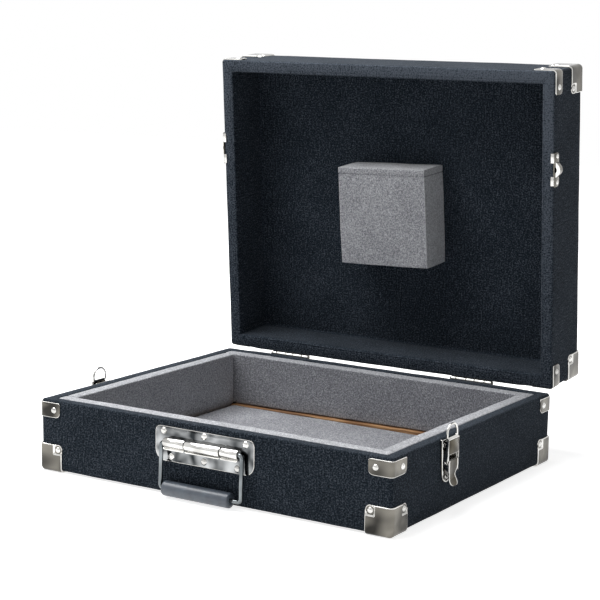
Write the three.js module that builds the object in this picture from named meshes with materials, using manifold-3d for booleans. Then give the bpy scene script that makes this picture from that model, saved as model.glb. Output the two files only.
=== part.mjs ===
// Turntable case: a carpeted plywood box with a hinged lid, foam lining, nickelled corners,
// a drop handle, two butt hinges and two draw latches. Millimetres, +Z up, front towards -Y.
import * as THREE from 'three'
import { mergeVertices } from 'three/addons/utils/BufferGeometryUtils.js'
import Module from 'manifold-3d'

const wasm = await Module()
wasm.setup()

// Driving dimensions
const WIDTH = 530 // outside of the carpet, left to right
const DEPTH = 430 // outside of the carpet, front to rear
const RIM_Z = 96 // top of the base's rim
const CLOSED_Z = 185 // top of the closed lid
const RIM_GAP = 2 // between the two rims when the lid is closed
const OPEN_ANGLE = 86 // degrees from closed to the stop, where the lid stands
const GAP = 0.3 // clearance between touching pieces
const PLY = 9
const CARPET = 3
const EDGE_ROUND = 4 // the box's outer edges
const RIM_ROUND = 3 // where the carpet turns over a rim
const CAP_PROUD = 2.4 // corner caps above the carpet
const FOAM = 17.5
const ORIGIN_TO_REAR = 36 // from the middle of the base to the origin, under the middle of the open case

// Layers through a wall, measured inwards from the carpet's outside
const PLY_OUT = CARPET + GAP
const PLY_IN = PLY_OUT + PLY
const BASE_LINING_IN = PLY_IN + GAP + 2.8
const LID_TURN_IN = PLY_IN + GAP + 2
const LID_LINING_IN = LID_TURN_IN + 3

// Heights
const BASE_Z = CAP_PROUD // underside of the base's carpet; the caps stand on z = 0
const FLOOR_Z = BASE_Z + PLY_IN
const PAD_TOP = 20.5
const LID_Z = RIM_Z + RIM_GAP
const LID_CEILING_Z = CLOSED_Z - PLY_IN - GAP - CARPET

// The hinge's axis, and where the fittings sit along the case
const PIVOT_Y = DEPTH / 2 + 3.5
const PIVOT_Z = RIM_Z + 1
const HINGE_X = { left: -157, right: 144 }
const LATCH_Y = -85
const HANDLE_X = -1

const steel = new THREE.MeshStandardMaterial({ color: 0xc9c6bf, roughness: 0.18, metalness: 1 })
const darkCarpet = new THREE.MeshStandardMaterial({ color: 0x23262d, roughness: 0.98, metalness: 0 })
const greyFoam = new THREE.MeshStandardMaterial({ color: 0x86878d, roughness: 0.95, metalness: 0 })
const plywood = new THREE.MeshStandardMaterial({ color: 0xa8763f, roughness: 0.75, metalness: 0 })
const greyVinyl = new THREE.MeshStandardMaterial({ color: 0x454b55, roughness: 0.4, metalness: 0 })

// Solids and booleans
function solid(geometry) {
  const bare = geometry.clone()
  bare.deleteAttribute('normal')
  bare.deleteAttribute('uv')
  const merged = mergeVertices(bare, 1e-4)
  return new wasm.Manifold(new wasm.Mesh({
    numProp: 3,
    vertProperties: Float32Array.from(merged.attributes.position.array),
    triVerts: Uint32Array.from(merged.index.array),
  }))
}

function geometryOf(shape) {
  const { vertProperties, triVerts } = shape.getMesh()
  const geometry = new THREE.BufferGeometry()
  geometry.setAttribute('position', new THREE.BufferAttribute(Float32Array.from(vertProperties), 3))
  geometry.setIndex(new THREE.BufferAttribute(Uint32Array.from(triVerts), 1))
  geometry.computeVertexNormals()
  return geometry
}

function join(...pieces) {
  return geometryOf(pieces.map(solid).reduce((whole, piece) => whole.add(piece)))
}

function cut(from, ...tools) {
  return geometryOf(tools.map(solid).reduce((rest, tool) => rest.subtract(tool), solid(from)))
}

function common(...pieces) {
  return geometryOf(pieces.map(solid).reduce((rest, piece) => rest.intersect(piece)))
}

// A block between two corners
function block([x0, y0, z0], [x1, y1, z1]) {
  const geometry = new THREE.BoxGeometry(Math.abs(x1 - x0), Math.abs(y1 - y0), Math.abs(z1 - z0))
  return geometry.translate((x0 + x1) / 2, (y0 + y1) / 2, (z0 + z1) / 2)
}

// A rod along one axis, its centre given on the other two axes in x, y, z order
function rod(axis, from, to, centre, radius, sides = 12) {
  const geometry = new THREE.CylinderGeometry(radius, radius, to - from, sides)
  const middle = (from + to) / 2
  if (axis === 'x') return geometry.rotateZ(-Math.PI / 2).translate(middle, ...centre)
  if (axis === 'y') return geometry.translate(centre[0], middle, centre[1])
  return geometry.rotateX(Math.PI / 2).translate(...centre, middle)
}

// Turns every face over, for a geometry that a reflection has turned inside out
function flipped(geometry) {
  const whole = geometry.index ? geometry : mergeVertices(geometry, 1e-4)
  const index = whole.index.array
  for (let i = 0; i < index.length; i += 3) [index[i], index[i + 1]] = [index[i + 1], index[i]]
  whole.computeVertexNormals()
  return whole
}

const SWAP_Y_Z = new THREE.Matrix4().set(1, 0, 0, 0, 0, 0, 1, 0, 0, 1, 0, 0, 0, 0, 0, 1)
const X_Y_Z_FROM_Z_X_Y = new THREE.Matrix4().set(0, 0, 1, 0, 1, 0, 0, 0, 0, 1, 0, 0, 0, 0, 0, 1)

// An outline drawn on the plane of the other two axes, in x, y, z order, and extruded along one axis
function slab(axis, from, to, outline) {
  const points = Array.isArray(outline) && outline.map((point) => new THREE.Vector2(...point))
  const shape = points ? new THREE.Shape(points) : outline
  const options = { depth: to - from, bevelEnabled: false, curveSegments: 3 }
  const geometry = new THREE.ExtrudeGeometry(shape, options).translate(0, 0, from)
  if (axis === 'x') return geometry.applyMatrix4(X_Y_Z_FROM_Z_X_Y)
  if (axis === 'y') return flipped(geometry.applyMatrix4(SWAP_Y_Z))
  return geometry
}

function mirrored(geometry, axis) {
  const scale = { x: [-1, 1, 1], y: [1, -1, 1], z: [1, 1, -1] }[axis]
  return flipped(geometry.clone().scale(...scale))
}

// A rectangle with rounded corners: one radius each, anticlockwise from the low left
function roundedRectangle(x0, y0, x1, y1, [r0, r1, r2, r3]) {
  const shape = new THREE.Shape()
  shape.moveTo(x0 + r0, y0)
  shape.lineTo(x1 - r1, y0)
  if (r1) shape.absarc(x1 - r1, y0 + r1, r1, -Math.PI / 2, 0)
  shape.lineTo(x1, y1 - r2)
  if (r2) shape.absarc(x1 - r2, y1 - r2, r2, 0, Math.PI / 2)
  shape.lineTo(x0 + r3, y1)
  if (r3) shape.absarc(x0 + r3, y1 - r3, r3, Math.PI / 2, Math.PI)
  shape.lineTo(x0, y0 + r0)
  if (r0) shape.absarc(x0 + r0, y0 + r0, r0, Math.PI, 1.5 * Math.PI)
  return shape
}

// A domed rivet head, standing out from a face along one signed axis
function rivet(direction, x, y, z, radius, height) {
  const root = 0.4
  const profile = [[0, -root], [radius, -root], [radius, 0.3 * height], [0.6 * radius, height], [0, height]]
  const head = new THREE.LatheGeometry(profile.map((point) => new THREE.Vector2(...point)), 8)
  if (direction === '+x') head.rotateZ(-Math.PI / 2)
  if (direction === '-y') head.rotateX(Math.PI)
  return head.translate(x, y, z)
}

// The case, and the lid hung on the hinge's axis at its open stop.
// The lid's pieces are drawn where they lie when it is closed.
const turntableCase = new THREE.Group()
turntableCase.position.y = -ORIGIN_TO_REAR
const hinged = new THREE.Group()
hinged.position.set(0, PIVOT_Y, PIVOT_Z)
hinged.rotation.x = THREE.MathUtils.degToRad(-OPEN_ANGLE)
turntableCase.add(hinged)
const lid = new THREE.Group()
lid.position.set(0, -PIVOT_Y, -PIVOT_Z)
hinged.add(lid)

function add(parent, name, geometry, material) {
  const mesh = new THREE.Mesh(geometry, material)
  mesh.name = name
  parent.add(mesh)
}

// Four butt-jointed plywood walls between two heights, and a panel inside them
function plywoodBox(parent, prefix, low, high, panelName, panelLow) {
  const x = WIDTH / 2 - PLY_OUT
  const y = DEPTH / 2 - PLY_OUT
  const innerX = x - PLY
  const innerY = y - PLY
  const sideY = innerY - GAP
  add(parent, `${prefix}_front_panel`, block([-x, -y, low], [x, -innerY, high]), plywood)
  add(parent, `${prefix}_rear_panel`, block([-x, innerY, low], [x, y, high]), plywood)
  add(parent, `${prefix}_left_panel`, block([-x, -sideY, low], [-innerX, sideY, high]), plywood)
  add(parent, `${prefix}_right_panel`, block([innerX, -sideY, low], [x, sideY, high]), plywood)
  const corner = [innerX - GAP, sideY]
  const panel = block([-corner[0], -corner[1], panelLow], [...corner, panelLow + PLY])
  add(parent, panelName, panel, plywood)
}

// A block with the case's outline, set in from the carpet's outside
function inset(distance, low, high) {
  const x = WIDTH / 2 - distance
  const y = DEPTH / 2 - distance
  return block([-x, -y, low], [x, y, high])
}

// The carpet's outer form, rounded along every edge
function carpetForm(low, high, lowRound, highRound) {
  const x = WIDTH / 2
  const y = DEPTH / 2
  const radii = [lowRound, lowRound, highRound, highRound]
  const uprights = [EDGE_ROUND, EDGE_ROUND, EDGE_ROUND, EDGE_ROUND]
  return common(
    slab('z', low, high, roundedRectangle(-x, -y, x, y, uprights)),
    slab('x', -x, x, roundedRectangle(-y, low, y, high, radii)),
    slab('y', -y, y, roundedRectangle(-x, low, x, high, radii)),
  )
}

// Base box. Its carpet covers the outside, turns over the rim and hangs down inside to the floor.
plywoodBox(turntableCase, 'base', BASE_Z + PLY_OUT, RIM_Z - PLY_OUT, 'base_bottom_panel', BASE_Z + PLY_OUT)
const baseWalls = cut(inset(CARPET, FLOOR_Z - 1, RIM_Z - CARPET), inset(PLY_IN + GAP, FLOOR_Z - 2, RIM_Z))
add(turntableCase, 'base_carpet', cut(
  carpetForm(BASE_Z, RIM_Z, EDGE_ROUND, RIM_ROUND),
  inset(BASE_LINING_IN, FLOOR_Z, RIM_Z + 1),
  inset(CARPET, BASE_Z + CARPET, FLOOR_Z + GAP),
  baseWalls,
), darkCarpet)

// Foam strips glued inside the four walls. The rear one is a little thicker, and cut on a slant above
// the batten; the others stand on the floor.
const FOAM_X = WIDTH / 2 - BASE_LINING_IN - GAP
const FOAM_Y = DEPTH / 2 - BASE_LINING_IN - GAP
const STRIP_LOW = FLOOR_Z + GAP
const STRIP_TOP = RIM_Z - 0.4
const REAR_STRIP_LOW = { left: 22.5, right: 26.5 }
const stripX = FOAM_X - FOAM
const stripFront = -(FOAM_Y - FOAM)
const stripRear = FOAM_Y - FOAM - 1.5
const frontStrip = block([-FOAM_X, -FOAM_Y, STRIP_LOW], [FOAM_X, stripFront, STRIP_TOP])
const rearStrip = slab('y', stripRear, FOAM_Y, [
  [-FOAM_X, REAR_STRIP_LOW.left], [FOAM_X, REAR_STRIP_LOW.right], [FOAM_X, STRIP_TOP], [-FOAM_X, STRIP_TOP],
])
add(turntableCase, 'foam_strip_front', frontStrip, greyFoam)
add(turntableCase, 'foam_strip_rear', rearStrip, greyFoam)
for (const [name, side] of [['left', -1], ['right', 1]]) {
  const corners = [[side * stripX, stripFront + GAP, STRIP_LOW], [side * FOAM_X, stripRear - GAP, STRIP_TOP]]
  add(turntableCase, `foam_strip_${name}`, block(...corners), greyFoam)
}

// Floor pad between the strips, cut a little narrow on the left and out of square at the rear, and the
// bare batten behind it, which reaches under the rear strip
const PAD = { left: -230.3, right: stripX - GAP, front: stripFront + GAP, rearLeft: 171, rearRight: 168.5 }
const BATTEN_FRONT = 173
const padOutline = [
  [PAD.left, PAD.front], [PAD.right, PAD.front], [PAD.right, PAD.rearRight], [PAD.left, PAD.rearLeft],
]
add(turntableCase, 'floor_pad', slab('z', STRIP_LOW, PAD_TOP, padOutline), greyFoam)
const battenX = stripX - GAP
const batten = block([-battenX, BATTEN_FRONT, STRIP_LOW], [battenX, FOAM_Y, PAD_TOP - 0.2])
add(turntableCase, 'rear_batten', batten, plywood)

// Lid box, its outer carpet turned in over the rim, and the lining inside it
plywoodBox(lid, 'lid', LID_Z + PLY_OUT, CLOSED_Z - PLY_OUT, 'lid_top_panel', CLOSED_Z - PLY_IN)
const lidWalls = cut(inset(CARPET, LID_Z + CARPET, CLOSED_Z - PLY_IN), inset(PLY_IN + GAP, LID_Z, CLOSED_Z))
add(lid, 'lid_carpet', cut(
  carpetForm(LID_Z, CLOSED_Z, RIM_ROUND, EDGE_ROUND),
  inset(LID_TURN_IN, LID_Z - 1, CLOSED_Z - PLY_IN),
  inset(CARPET, CLOSED_Z - PLY_IN - GAP, CLOSED_Z - CARPET),
  lidWalls,
), darkCarpet)
add(lid, 'lid_lining', cut(
  inset(LID_TURN_IN + GAP, LID_Z, CLOSED_Z - PLY_IN - GAP),
  inset(LID_LINING_IN, LID_Z - 1, LID_CEILING_Z),
), darkCarpet)

// Foam block glued in the lid to hold the deck down, a little off the middle and not quite square
const BLOCK = { width: 140, depth: 139.5, height: 55, x: -6.6, y: 1.8, turn: -1.6 }
const foamBlock = new THREE.BoxGeometry(BLOCK.width, BLOCK.depth, BLOCK.height)
foamBlock.rotateZ(THREE.MathUtils.degToRad(BLOCK.turn))
foamBlock.translate(BLOCK.x, BLOCK.y, LID_CEILING_Z - GAP - BLOCK.height / 2)
add(lid, 'lid_foam_block', foamBlock, greyFoam)

// Corner cap, drawn for the right front bottom corner with the carpet's corner at the origin.
// Three pressed flaps stand proud, and each dips to a round lug with a rivet at its far corner.
const CAP = { reach: 35, lugProud: 1, lugCentre: 27.5, lugRadius: 7.5, dipRadius: 8.5, dipSlope: 4.5 }
const CAP_RIVET = { radius: 3.4, height: 1.3 }
function cornerCap() {
  const { reach, lugProud, lugCentre, lugRadius, dipRadius, dipSlope } = CAP
  const corner = (proud, radius, from) => common(
    slab('z', -proud, -from, roundedRectangle(from, -proud, proud, -from, [0, radius, 0, 0])),
    slab('x', from, proud, roundedRectangle(-proud, -proud, -from, -from, [radius, 0, 0, 0])),
    slab('y', -proud, -from, roundedRectangle(from, -proud, proud, -from, [0, radius, 0, 0])),
  )
  const shell = cut(corner(CAP_PROUD, EDGE_ROUND + CAP_PROUD, -reach), corner(GAP, EDGE_ROUND, -reach - 1))

  // The dip, the rounding of the far corner and the rivet, drawn on the front flap
  const depth = CAP_PROUD - lugProud + 0.01
  const dip = new THREE.CylinderGeometry(dipRadius + dipSlope, dipRadius, depth, 12)
  dip.rotateX(Math.PI / 2).translate(-lugCentre, -lugProud - depth / 2, lugCentre)
  const offcut = cut(
    block([-reach - 1, -CAP_PROUD - 1, lugCentre], [-lugCentre, 1, reach + 1]),
    rod('y', -CAP_PROUD - 2, 2, [-lugCentre, lugCentre], lugRadius),
  )
  const head = rivet('-y', -lugCentre, -lugProud, lugCentre, CAP_RIVET.radius, CAP_RIVET.height)
  const toSide = new THREE.Matrix4().set(0, -1, 0, 0, -1, 0, 0, 0, 0, 0, 1, 0, 0, 0, 0, 1)
  const onEachFlap = (tool) => [tool, ...[toSide, SWAP_Y_Z].map((m) => flipped(tool.clone().applyMatrix4(m)))]
  return join(cut(shell, ...onEachFlap(dip), ...onEachFlap(offcut)), ...onEachFlap(head))
}

// Rim brace, drawn for the same corner: a strip bent round the upright edge, one rivet in each leg
const BRACE = { leg: 32, low: 73, high: 93, proud: 1.5, endRadius: 7, rivetAt: 22 }
function rimBrace() {
  const { leg, low, high, proud, endRadius, rivetAt } = BRACE
  const across = (out, radius, reach) => roundedRectangle(-reach, -out, out, reach, [0, radius, 0, 0])
  const angle = cut(
    slab('z', low, high, across(proud, EDGE_ROUND + proud, leg)),
    slab('z', low - 1, high + 1, across(GAP, EDGE_ROUND, leg + 1)),
  )
  const frontOutline = roundedRectangle(-leg, low, proud, high, [endRadius, 0, 0, 3])
  const sideOutline = roundedRectangle(-proud, low, leg, high, [0, endRadius, 3, 0])
  const strip = common(angle, slab('y', -proud, leg, frontOutline), slab('x', -leg, proud, sideOutline))
  const middle = (low + high) / 2
  const frontHead = rivet('-y', -rivetAt, -proud, middle, 3.4, 1.6)
  const sideHead = rivet('+x', proud, rivetAt, middle, 3.4, 1.6)
  return join(strip, frontHead, sideHead)
}

// Copies of a corner piece at the four corners, drawn right way up for the base and over for the lid
const CORNERS = [['front_right', 1, -1], ['front_left', -1, -1], ['rear_right', 1, 1], ['rear_left', -1, 1]]
function addAtCorners(parent, prefix, piece, originZ) {
  for (const [name, sideX, sideY] of CORNERS) {
    let copy = piece.clone()
    if (sideX < 0) copy = mirrored(copy, 'x')
    if (sideY > 0) copy = mirrored(copy, 'y')
    add(parent, `${prefix}_${name}`, copy.translate(sideX * WIDTH / 2, sideY * DEPTH / 2, originZ), steel)
  }
}
const cap = cornerCap()
const brace = rimBrace()
addAtCorners(turntableCase, 'base_corner_cap', cap, BASE_Z)
addAtCorners(turntableCase, 'base_rim_brace', brace, 0)
addAtCorners(lid, 'lid_corner_cap', mirrored(cap, 'z'), CLOSED_Z)
addAtCorners(lid, 'lid_rim_brace', mirrored(brace, 'z'), RIM_Z + LID_Z)

// Butt hinges: a leaf on each rear face, five knuckles shared in turn, and a pin through them
const HINGE = { half: 31.5, leaf: 24, edge: 1.2, thick: 1.5, knuckle: 3.1, bore: 1.8, pin: 1.5, head: 2.4 }
const KNUCKLE_ENDS = [-HINGE.half, -23.3, -7.6, 5.2, 20.6, HINGE.half]
const AXIS = [PIVOT_Y, PIVOT_Z]
function hingeLeaf(side) {
  const face = DEPTH / 2 + GAP
  const { half, leaf, edge, thick, knuckle, bore } = HINGE
  const [near, far] = [PIVOT_Z + side * edge, PIVOT_Z + side * (edge + leaf)]
  const flap = block([-half, face, near], [half, face + thick, far])
  const spans = KNUCKLE_ENDS.slice(1).map((end, i) => [KNUCKLE_ENDS[i], end])
  const isMine = (span, i) => (i % 2 === 1) === (side > 0)
  const knuckles = spans.filter(isMine).map(([from, to]) => rod('x', from + GAP, to - GAP, AXIS, knuckle))
  const others = spans.filter((span, i) => !isMine(span, i))
  const room = others.map(([from, to]) => rod('x', from - 0.1, to + 0.1, AXIS, knuckle + 0.5))
  const hole = rod('x', -half - 1, half + 1, AXIS, bore)
  const places = [[-21, 11], [0, 18.5], [21, 11]]
  const heads = places.map(([x, z]) => rivet('+y', x, face + thick, PIVOT_Z + side * z, 3, 1.2))
  return join(cut(join(flap, ...knuckles), ...room, hole), ...heads)
}
function hingePin() {
  const { half, pin, head } = HINGE
  const stem = rod('x', -half - 0.6, half + 0.6, AXIS, pin)
  const heads = [[-half - 1.6, -half - 0.4], [half + 0.4, half + 1.6]]
  return join(stem, ...heads.map(([from, to]) => rod('x', from, to, AXIS, head)))
}
const hingePieces = { base_leaf: hingeLeaf(-1), lid_leaf: hingeLeaf(1), pin: hingePin() }
for (const [side, x] of Object.entries(HINGE_X)) {
  for (const [name, piece] of Object.entries(hingePieces)) {
    const parent = name === 'lid_leaf' ? lid : turntableCase
    add(parent, `hinge_${side}_${name}`, piece.clone().translate(x, 0, 0), steel)
  }
}

// Drop handle on the front: a plate with three rolled barrels that hold the ends of a wire bail
const HANDLE = { half: 75, low: 44, high: 89, thick: 1.5, axisProud: 7.8, axisZ: 70, reach: 56, bore: 3.4 }
const BARRELS = [
  { from: -HANDLE.reach, to: -24.5, radius: 6.2, drop: 0 },
  { from: -23, to: 29, radius: 6.7, drop: 0.5 },
  { from: 30.5, to: HANDLE.reach, radius: 6.2, drop: 0 },
]
const HANDLE_RIVETS = [[-62, 82.5], [0, 83.5], [62, 82.5], [-50, 50.5], [0, 51.5], [50, 50.5]]
const axisY = -DEPTH / 2 - HANDLE.axisProud
function handlePlate() {
  const { half, low, high, thick, axisZ, reach, bore } = HANDLE
  const face = -DEPTH / 2 - GAP
  const plate = slab('y', face - thick, face, roundedRectangle(-half, low, half, high, [14, 14, 8, 8]))
  const neck = block([-reach, axisY, axisZ - 8.7], [reach, face - 0.5, axisZ + 3])
  const barrels = BARRELS.map((barrel) => (
    rod('x', barrel.from, barrel.to, [axisY, axisZ - barrel.drop], barrel.radius, 16)))
  const slots = [0, 1].map((i) => (
    block([BARRELS[i].to, axisY - 9, 55], [BARRELS[i + 1].from, face - thick, 85])))
  const hole = rod('x', -half, half, [axisY, axisZ], bore, 16)
  const heads = HANDLE_RIVETS.map(([x, z]) => rivet('-y', x, face - thick, z, 4.2, 2))
  return join(cut(join(plate, neck, ...barrels), hole, ...slots), ...heads)
}

// The bail's middle line on the plane of X and Z, hanging straight down from its axis
const WIRE = 2.75
const BAIL = { half: 61, drop: 58.3, bend: 5, endIn: 33 }
function bailLine() {
  const { half, drop, bend, endIn } = BAIL
  const path = new THREE.Path()
  path.moveTo(-endIn, 0)
  path.absarc(-half + bend, -bend, bend, Math.PI / 2, Math.PI)
  path.absarc(-half + bend, -drop + bend, bend, Math.PI, 1.5 * Math.PI)
  path.absarc(half - bend, -drop + bend, bend, 1.5 * Math.PI, 2 * Math.PI)
  path.absarc(half - bend, -bend, bend, 0, Math.PI / 2)
  path.lineTo(endIn, 0)
  return path
}

// A round wire along a line on the plane of X and Z: a ring of points at each station, closed at both ends
function wire(path, radius, sides, bendSteps) {
  const stations = []
  path.curves.forEach((curve, i) => {
    const steps = curve.isLineCurve ? 1 : bendSteps
    const first = i === 0 ? 0 : 1
    for (let k = first; k <= steps; k++) {
      stations.push([curve.getPoint(k / steps), curve.getTangent(k / steps)])
    }
  })
  const positions = []
  for (const [point, tangent] of stations) {
    for (let k = 0; k < sides; k++) {
      const angle = (2 * Math.PI * k) / sides
      const side = radius * Math.cos(angle)
      positions.push(point.x - side * tangent.y, radius * Math.sin(angle), point.y + side * tangent.x)
    }
  }
  const at = (ring, k) => ring * sides + (k % sides)
  const index = []
  const end = stations.length - 1
  for (let ring = 0; ring < end; ring++) {
    for (let k = 0; k < sides; k++) {
      index.push(at(ring, k), at(ring + 1, k), at(ring, k + 1))
      index.push(at(ring, k + 1), at(ring + 1, k), at(ring + 1, k + 1))
    }
  }
  for (let k = 1; k < sides - 1; k++) {
    index.push(at(0, 0), at(0, k), at(0, k + 1))
    index.push(at(end, 0), at(end, k + 1), at(end, k))
  }
  const geometry = new THREE.BufferGeometry()
  geometry.setAttribute('position', new THREE.Float32BufferAttribute(positions, 3))
  geometry.setIndex(index)
  geometry.computeVertexNormals()
  return geometry
}

// The bail leans out as far as its grip, which hangs against the carpet, holds it
const GRIP = { from: -54, to: 46.5, radius: 9.7, offCarpet: 0.4 }
const bail = new THREE.Group()
bail.position.set(HANDLE_X, axisY, HANDLE.axisZ)
bail.rotation.x = -Math.asin((GRIP.radius + GRIP.offCarpet - HANDLE.axisProud) / BAIL.drop)
turntableCase.add(bail)
add(turntableCase, 'handle_plate', handlePlate().translate(HANDLE_X, 0, 0), steel)
add(bail, 'handle_bail', wire(bailLine(), WIRE, 12, 3), steel)
const gripBody = rod('x', GRIP.from, GRIP.to, [0, -BAIL.drop], GRIP.radius, 24)
const gripBore = rod('x', GRIP.from - 1, GRIP.to + 1, [0, -BAIL.drop], WIRE + GAP)
add(bail, 'handle_grip', cut(gripBody, gripBore), greyVinyl)

// Draw latch, drawn for the right side with X measured out from the carpet, Y from the latch's middle
const LATCH = {
  low: 40, high: 94, half: 13.5, thick: 1.5, ear: [9.3, 10.5], flange: [10.8, 12], strap: [12.3, 13.5],
  pivot: [6.5, 79], linkPivot: [6.3, 67], pin: 1.5, hole: 1.8, eye: 3.3,
}

// The same outline of [out, z] points on both sides of the middle
function cheeks([inner, outer], outline) {
  return [slab('y', inner, outer, outline), slab('y', -outer, -inner, outline)]
}

function latchBase() {
  const { low, high, half, thick, pivot, ear, hole, eye } = LATCH
  const out = GAP + thick
  const plate = slab('x', GAP, out, roundedRectangle(-half, low, half, high, [half - 1, half - 1, 3, 3]))
  const roll = rod('y', -half - 1.5, half + 1.5, [out, high - 0.8], 1.6)
  const earOutline = new THREE.Shape()
  earOutline.moveTo(GAP, pivot[1] + eye)
  earOutline.lineTo(GAP, pivot[1] - eye)
  earOutline.absarc(...pivot, eye, -Math.PI / 2, Math.PI / 2)
  const bore = rod('y', -half, half, pivot, hole)
  const carpetSide = block([-8, -half - 5, low - 1], [GAP, half + 5, high + 5])
  const heads = [[-5.5, 89], [5.5, 89], [0, 47]].map(([y, z]) => rivet('+x', out, y, z, 2.8, 1.4))
  return join(cut(join(plate, roll, ...cheeks(ear, earOutline)), bore, carpetSide), ...heads)
}

function latchPin() {
  const reach = LATCH.flange[1] + 0.1
  return rod('y', -reach, reach, LATCH.pivot, LATCH.pin)
}

// The lever: a waisted tongue with a kicked-out tip, two flanges on the latch's pin, and the link's pin
const TONGUE = {
  inner: 10.6, outer: 11.8, top: 63, shoulderZ: 58, waistZ: 45, waist: 7, tipZ: 38, tipRadius: 9,
}
function latchLever() {
  const { pivot, linkPivot, flange, strap, pin, hole, eye } = LATCH
  const { inner, outer, top, tipZ, tipRadius, waistZ, waist, shoulderZ } = TONGUE
  const half = flange[1]
  const section = [
    [inner, top], [outer, top], [outer, 44], [13.4, 38], [16.4, 33.2], [15.4, 32.6], [12.3, 37.5],
    [inner, 43.5],
  ]
  const face = new THREE.Shape()
  face.moveTo(-half, top)
  face.lineTo(-half, shoulderZ)
  face.bezierCurveTo(-half, 50, -waist, 50, -waist, waistZ)
  face.bezierCurveTo(-waist, 42, -tipRadius, 41, -tipRadius, tipZ)
  face.absarc(0, tipZ, tipRadius, Math.PI, 2 * Math.PI)
  face.bezierCurveTo(tipRadius, 41, waist, 42, waist, waistZ)
  face.bezierCurveTo(waist, 50, half, 50, half, shoulderZ)
  face.lineTo(half, top)
  const tongue = common(slab('y', -half, half, section), slab('x', 5, 20, face))
  const side = new THREE.Shape()
  side.moveTo(outer - 0.1, 55)
  side.lineTo(outer - 0.1, top)
  side.lineTo(pivot[0] + eye, 69)
  side.lineTo(pivot[0] + eye, pivot[1])
  side.absarc(...pivot, eye, 0, Math.PI)
  side.lineTo(pivot[0] - eye, 66)
  side.lineTo(pivot[0], shoulderZ)
  const bore = rod('y', -half - 1, half + 1, pivot, hole)
  const linkPin = rod('y', -strap[1] - 0.4, strap[1] + 0.4, linkPivot, pin)
  return join(cut(join(tongue, ...cheeks(flange, side)), bore), linkPin)
}

// The loop: a strap with side flanges, stepped in to a round-topped window that goes over the keeper.
// The strap stops short of the link's pin, so that the lever's tongue has room to fold up to it.
const STRAP = { inner: 10.3, outer: 11.5, low: 77, flangeLow: 70.5, high: 95.5 }
const WINDOW = { inner: 7.3, outer: 9.5, half: 14, low: 96.8, top: 115.3, bar: 3.4, sill: 98.6 }
function latchLoop() {
  const { linkPivot, strap, hole } = LATCH
  const { inner, outer, low, flangeLow, high } = STRAP
  const plate = block([inner, -strap[1], low], [outer, strap[1], high])
  const step = slab('y', -strap[1], strap[1], [
    [inner, 95], [outer, 95], [outer, 96.2], [WINDOW.outer, 98], [WINDOW.inner, 98],
    [WINDOW.inner, WINDOW.low], [inner, 95.4],
  ])
  const opening = WINDOW.half - WINDOW.bar
  const ring = cut(
    slab('x', WINDOW.inner, WINDOW.outer,
      roundedRectangle(-WINDOW.half, WINDOW.low, WINDOW.half, WINDOW.top, [2, 2, 10, 10])),
    slab('x', WINDOW.inner - 1, WINDOW.outer + 1,
      roundedRectangle(-opening, WINDOW.sill, opening, WINDOW.top - WINDOW.bar, [1, 1, 7, 7])),
  )
  const side = new THREE.Shape()
  side.moveTo(outer - 0.1, flangeLow)
  side.lineTo(outer - 0.1, high)
  side.lineTo(8.6, high)
  side.lineTo(7.4, 73)
  side.absarc(...linkPivot, 3, 0.75 * Math.PI, 1.9 * Math.PI)
  const bore = rod('y', -strap[1] - 1, strap[1] + 1, linkPivot, hole)
  return cut(join(plate, step, ring, ...cheeks(strap, side)), bore)
}

// Keeper on the lid: a plate with two riveted lugs turned under the rim, and a hollow nose for the loop
const KEEPER = { half: 23, high: 112, thick: 1.3, lug: 13, rivetY: 17.35, rivetZ: 106.5, under: -5 }
const NOSE = { half: 8, low: 100.5, top: 110.8, proud: 6.2, wall: 1.5 }
function keeper() {
  const { half, high, thick, lug, rivetY, rivetZ, under } = KEEPER
  const out = GAP + thick
  const lowEdge = LID_Z - 1.2
  const plate = slab('x', GAP, out, roundedRectangle(-half, lowEdge, half, high, [1, 1, 6.5, 6.5]))
  const feet = [-1, 1].map((end) => (
    block([under, end * (half - 1), lowEdge], [out - 0.2, end * (half - 1 - lug), LID_Z - GAP])))
  const nose = roundedRectangle(-NOSE.half, NOSE.low, NOSE.half, NOSE.top, [3, 3, 5, 5])
  const inside = NOSE.half - NOSE.wall
  const hollow = roundedRectangle(-inside, NOSE.low - 1, inside, NOSE.top - 2.4, [0, 0, 3, 3])
  const hump = cut(slab('x', GAP + 0.5, NOSE.proud, nose), slab('x', out, NOSE.proud - NOSE.wall, hollow))
  const heads = [-rivetY, rivetY].map((y) => rivet('+x', out, y, rivetZ, 3.1, 1.5))
  return join(plate, ...feet, hump, ...heads)
}

const latchPieces = { base: latchBase(), pin: latchPin(), lever: latchLever(), loop: latchLoop() }
const keeperPiece = keeper()
for (const side of ['right', 'left']) {
  const placed = (piece) => {
    const onRight = piece.clone().translate(WIDTH / 2, LATCH_Y, 0)
    return side === 'right' ? onRight : mirrored(onRight, 'x')
  }
  for (const [name, piece] of Object.entries(latchPieces)) {
    add(turntableCase, `latch_${side}_${name}`, placed(piece), steel)
  }
  add(lid, `keeper_${side}`, placed(keeperPiece), steel)
}

export default turntableCase
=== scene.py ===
import math
import bmesh
import bpy
from mathutils import Matrix, Vector, noise


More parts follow.
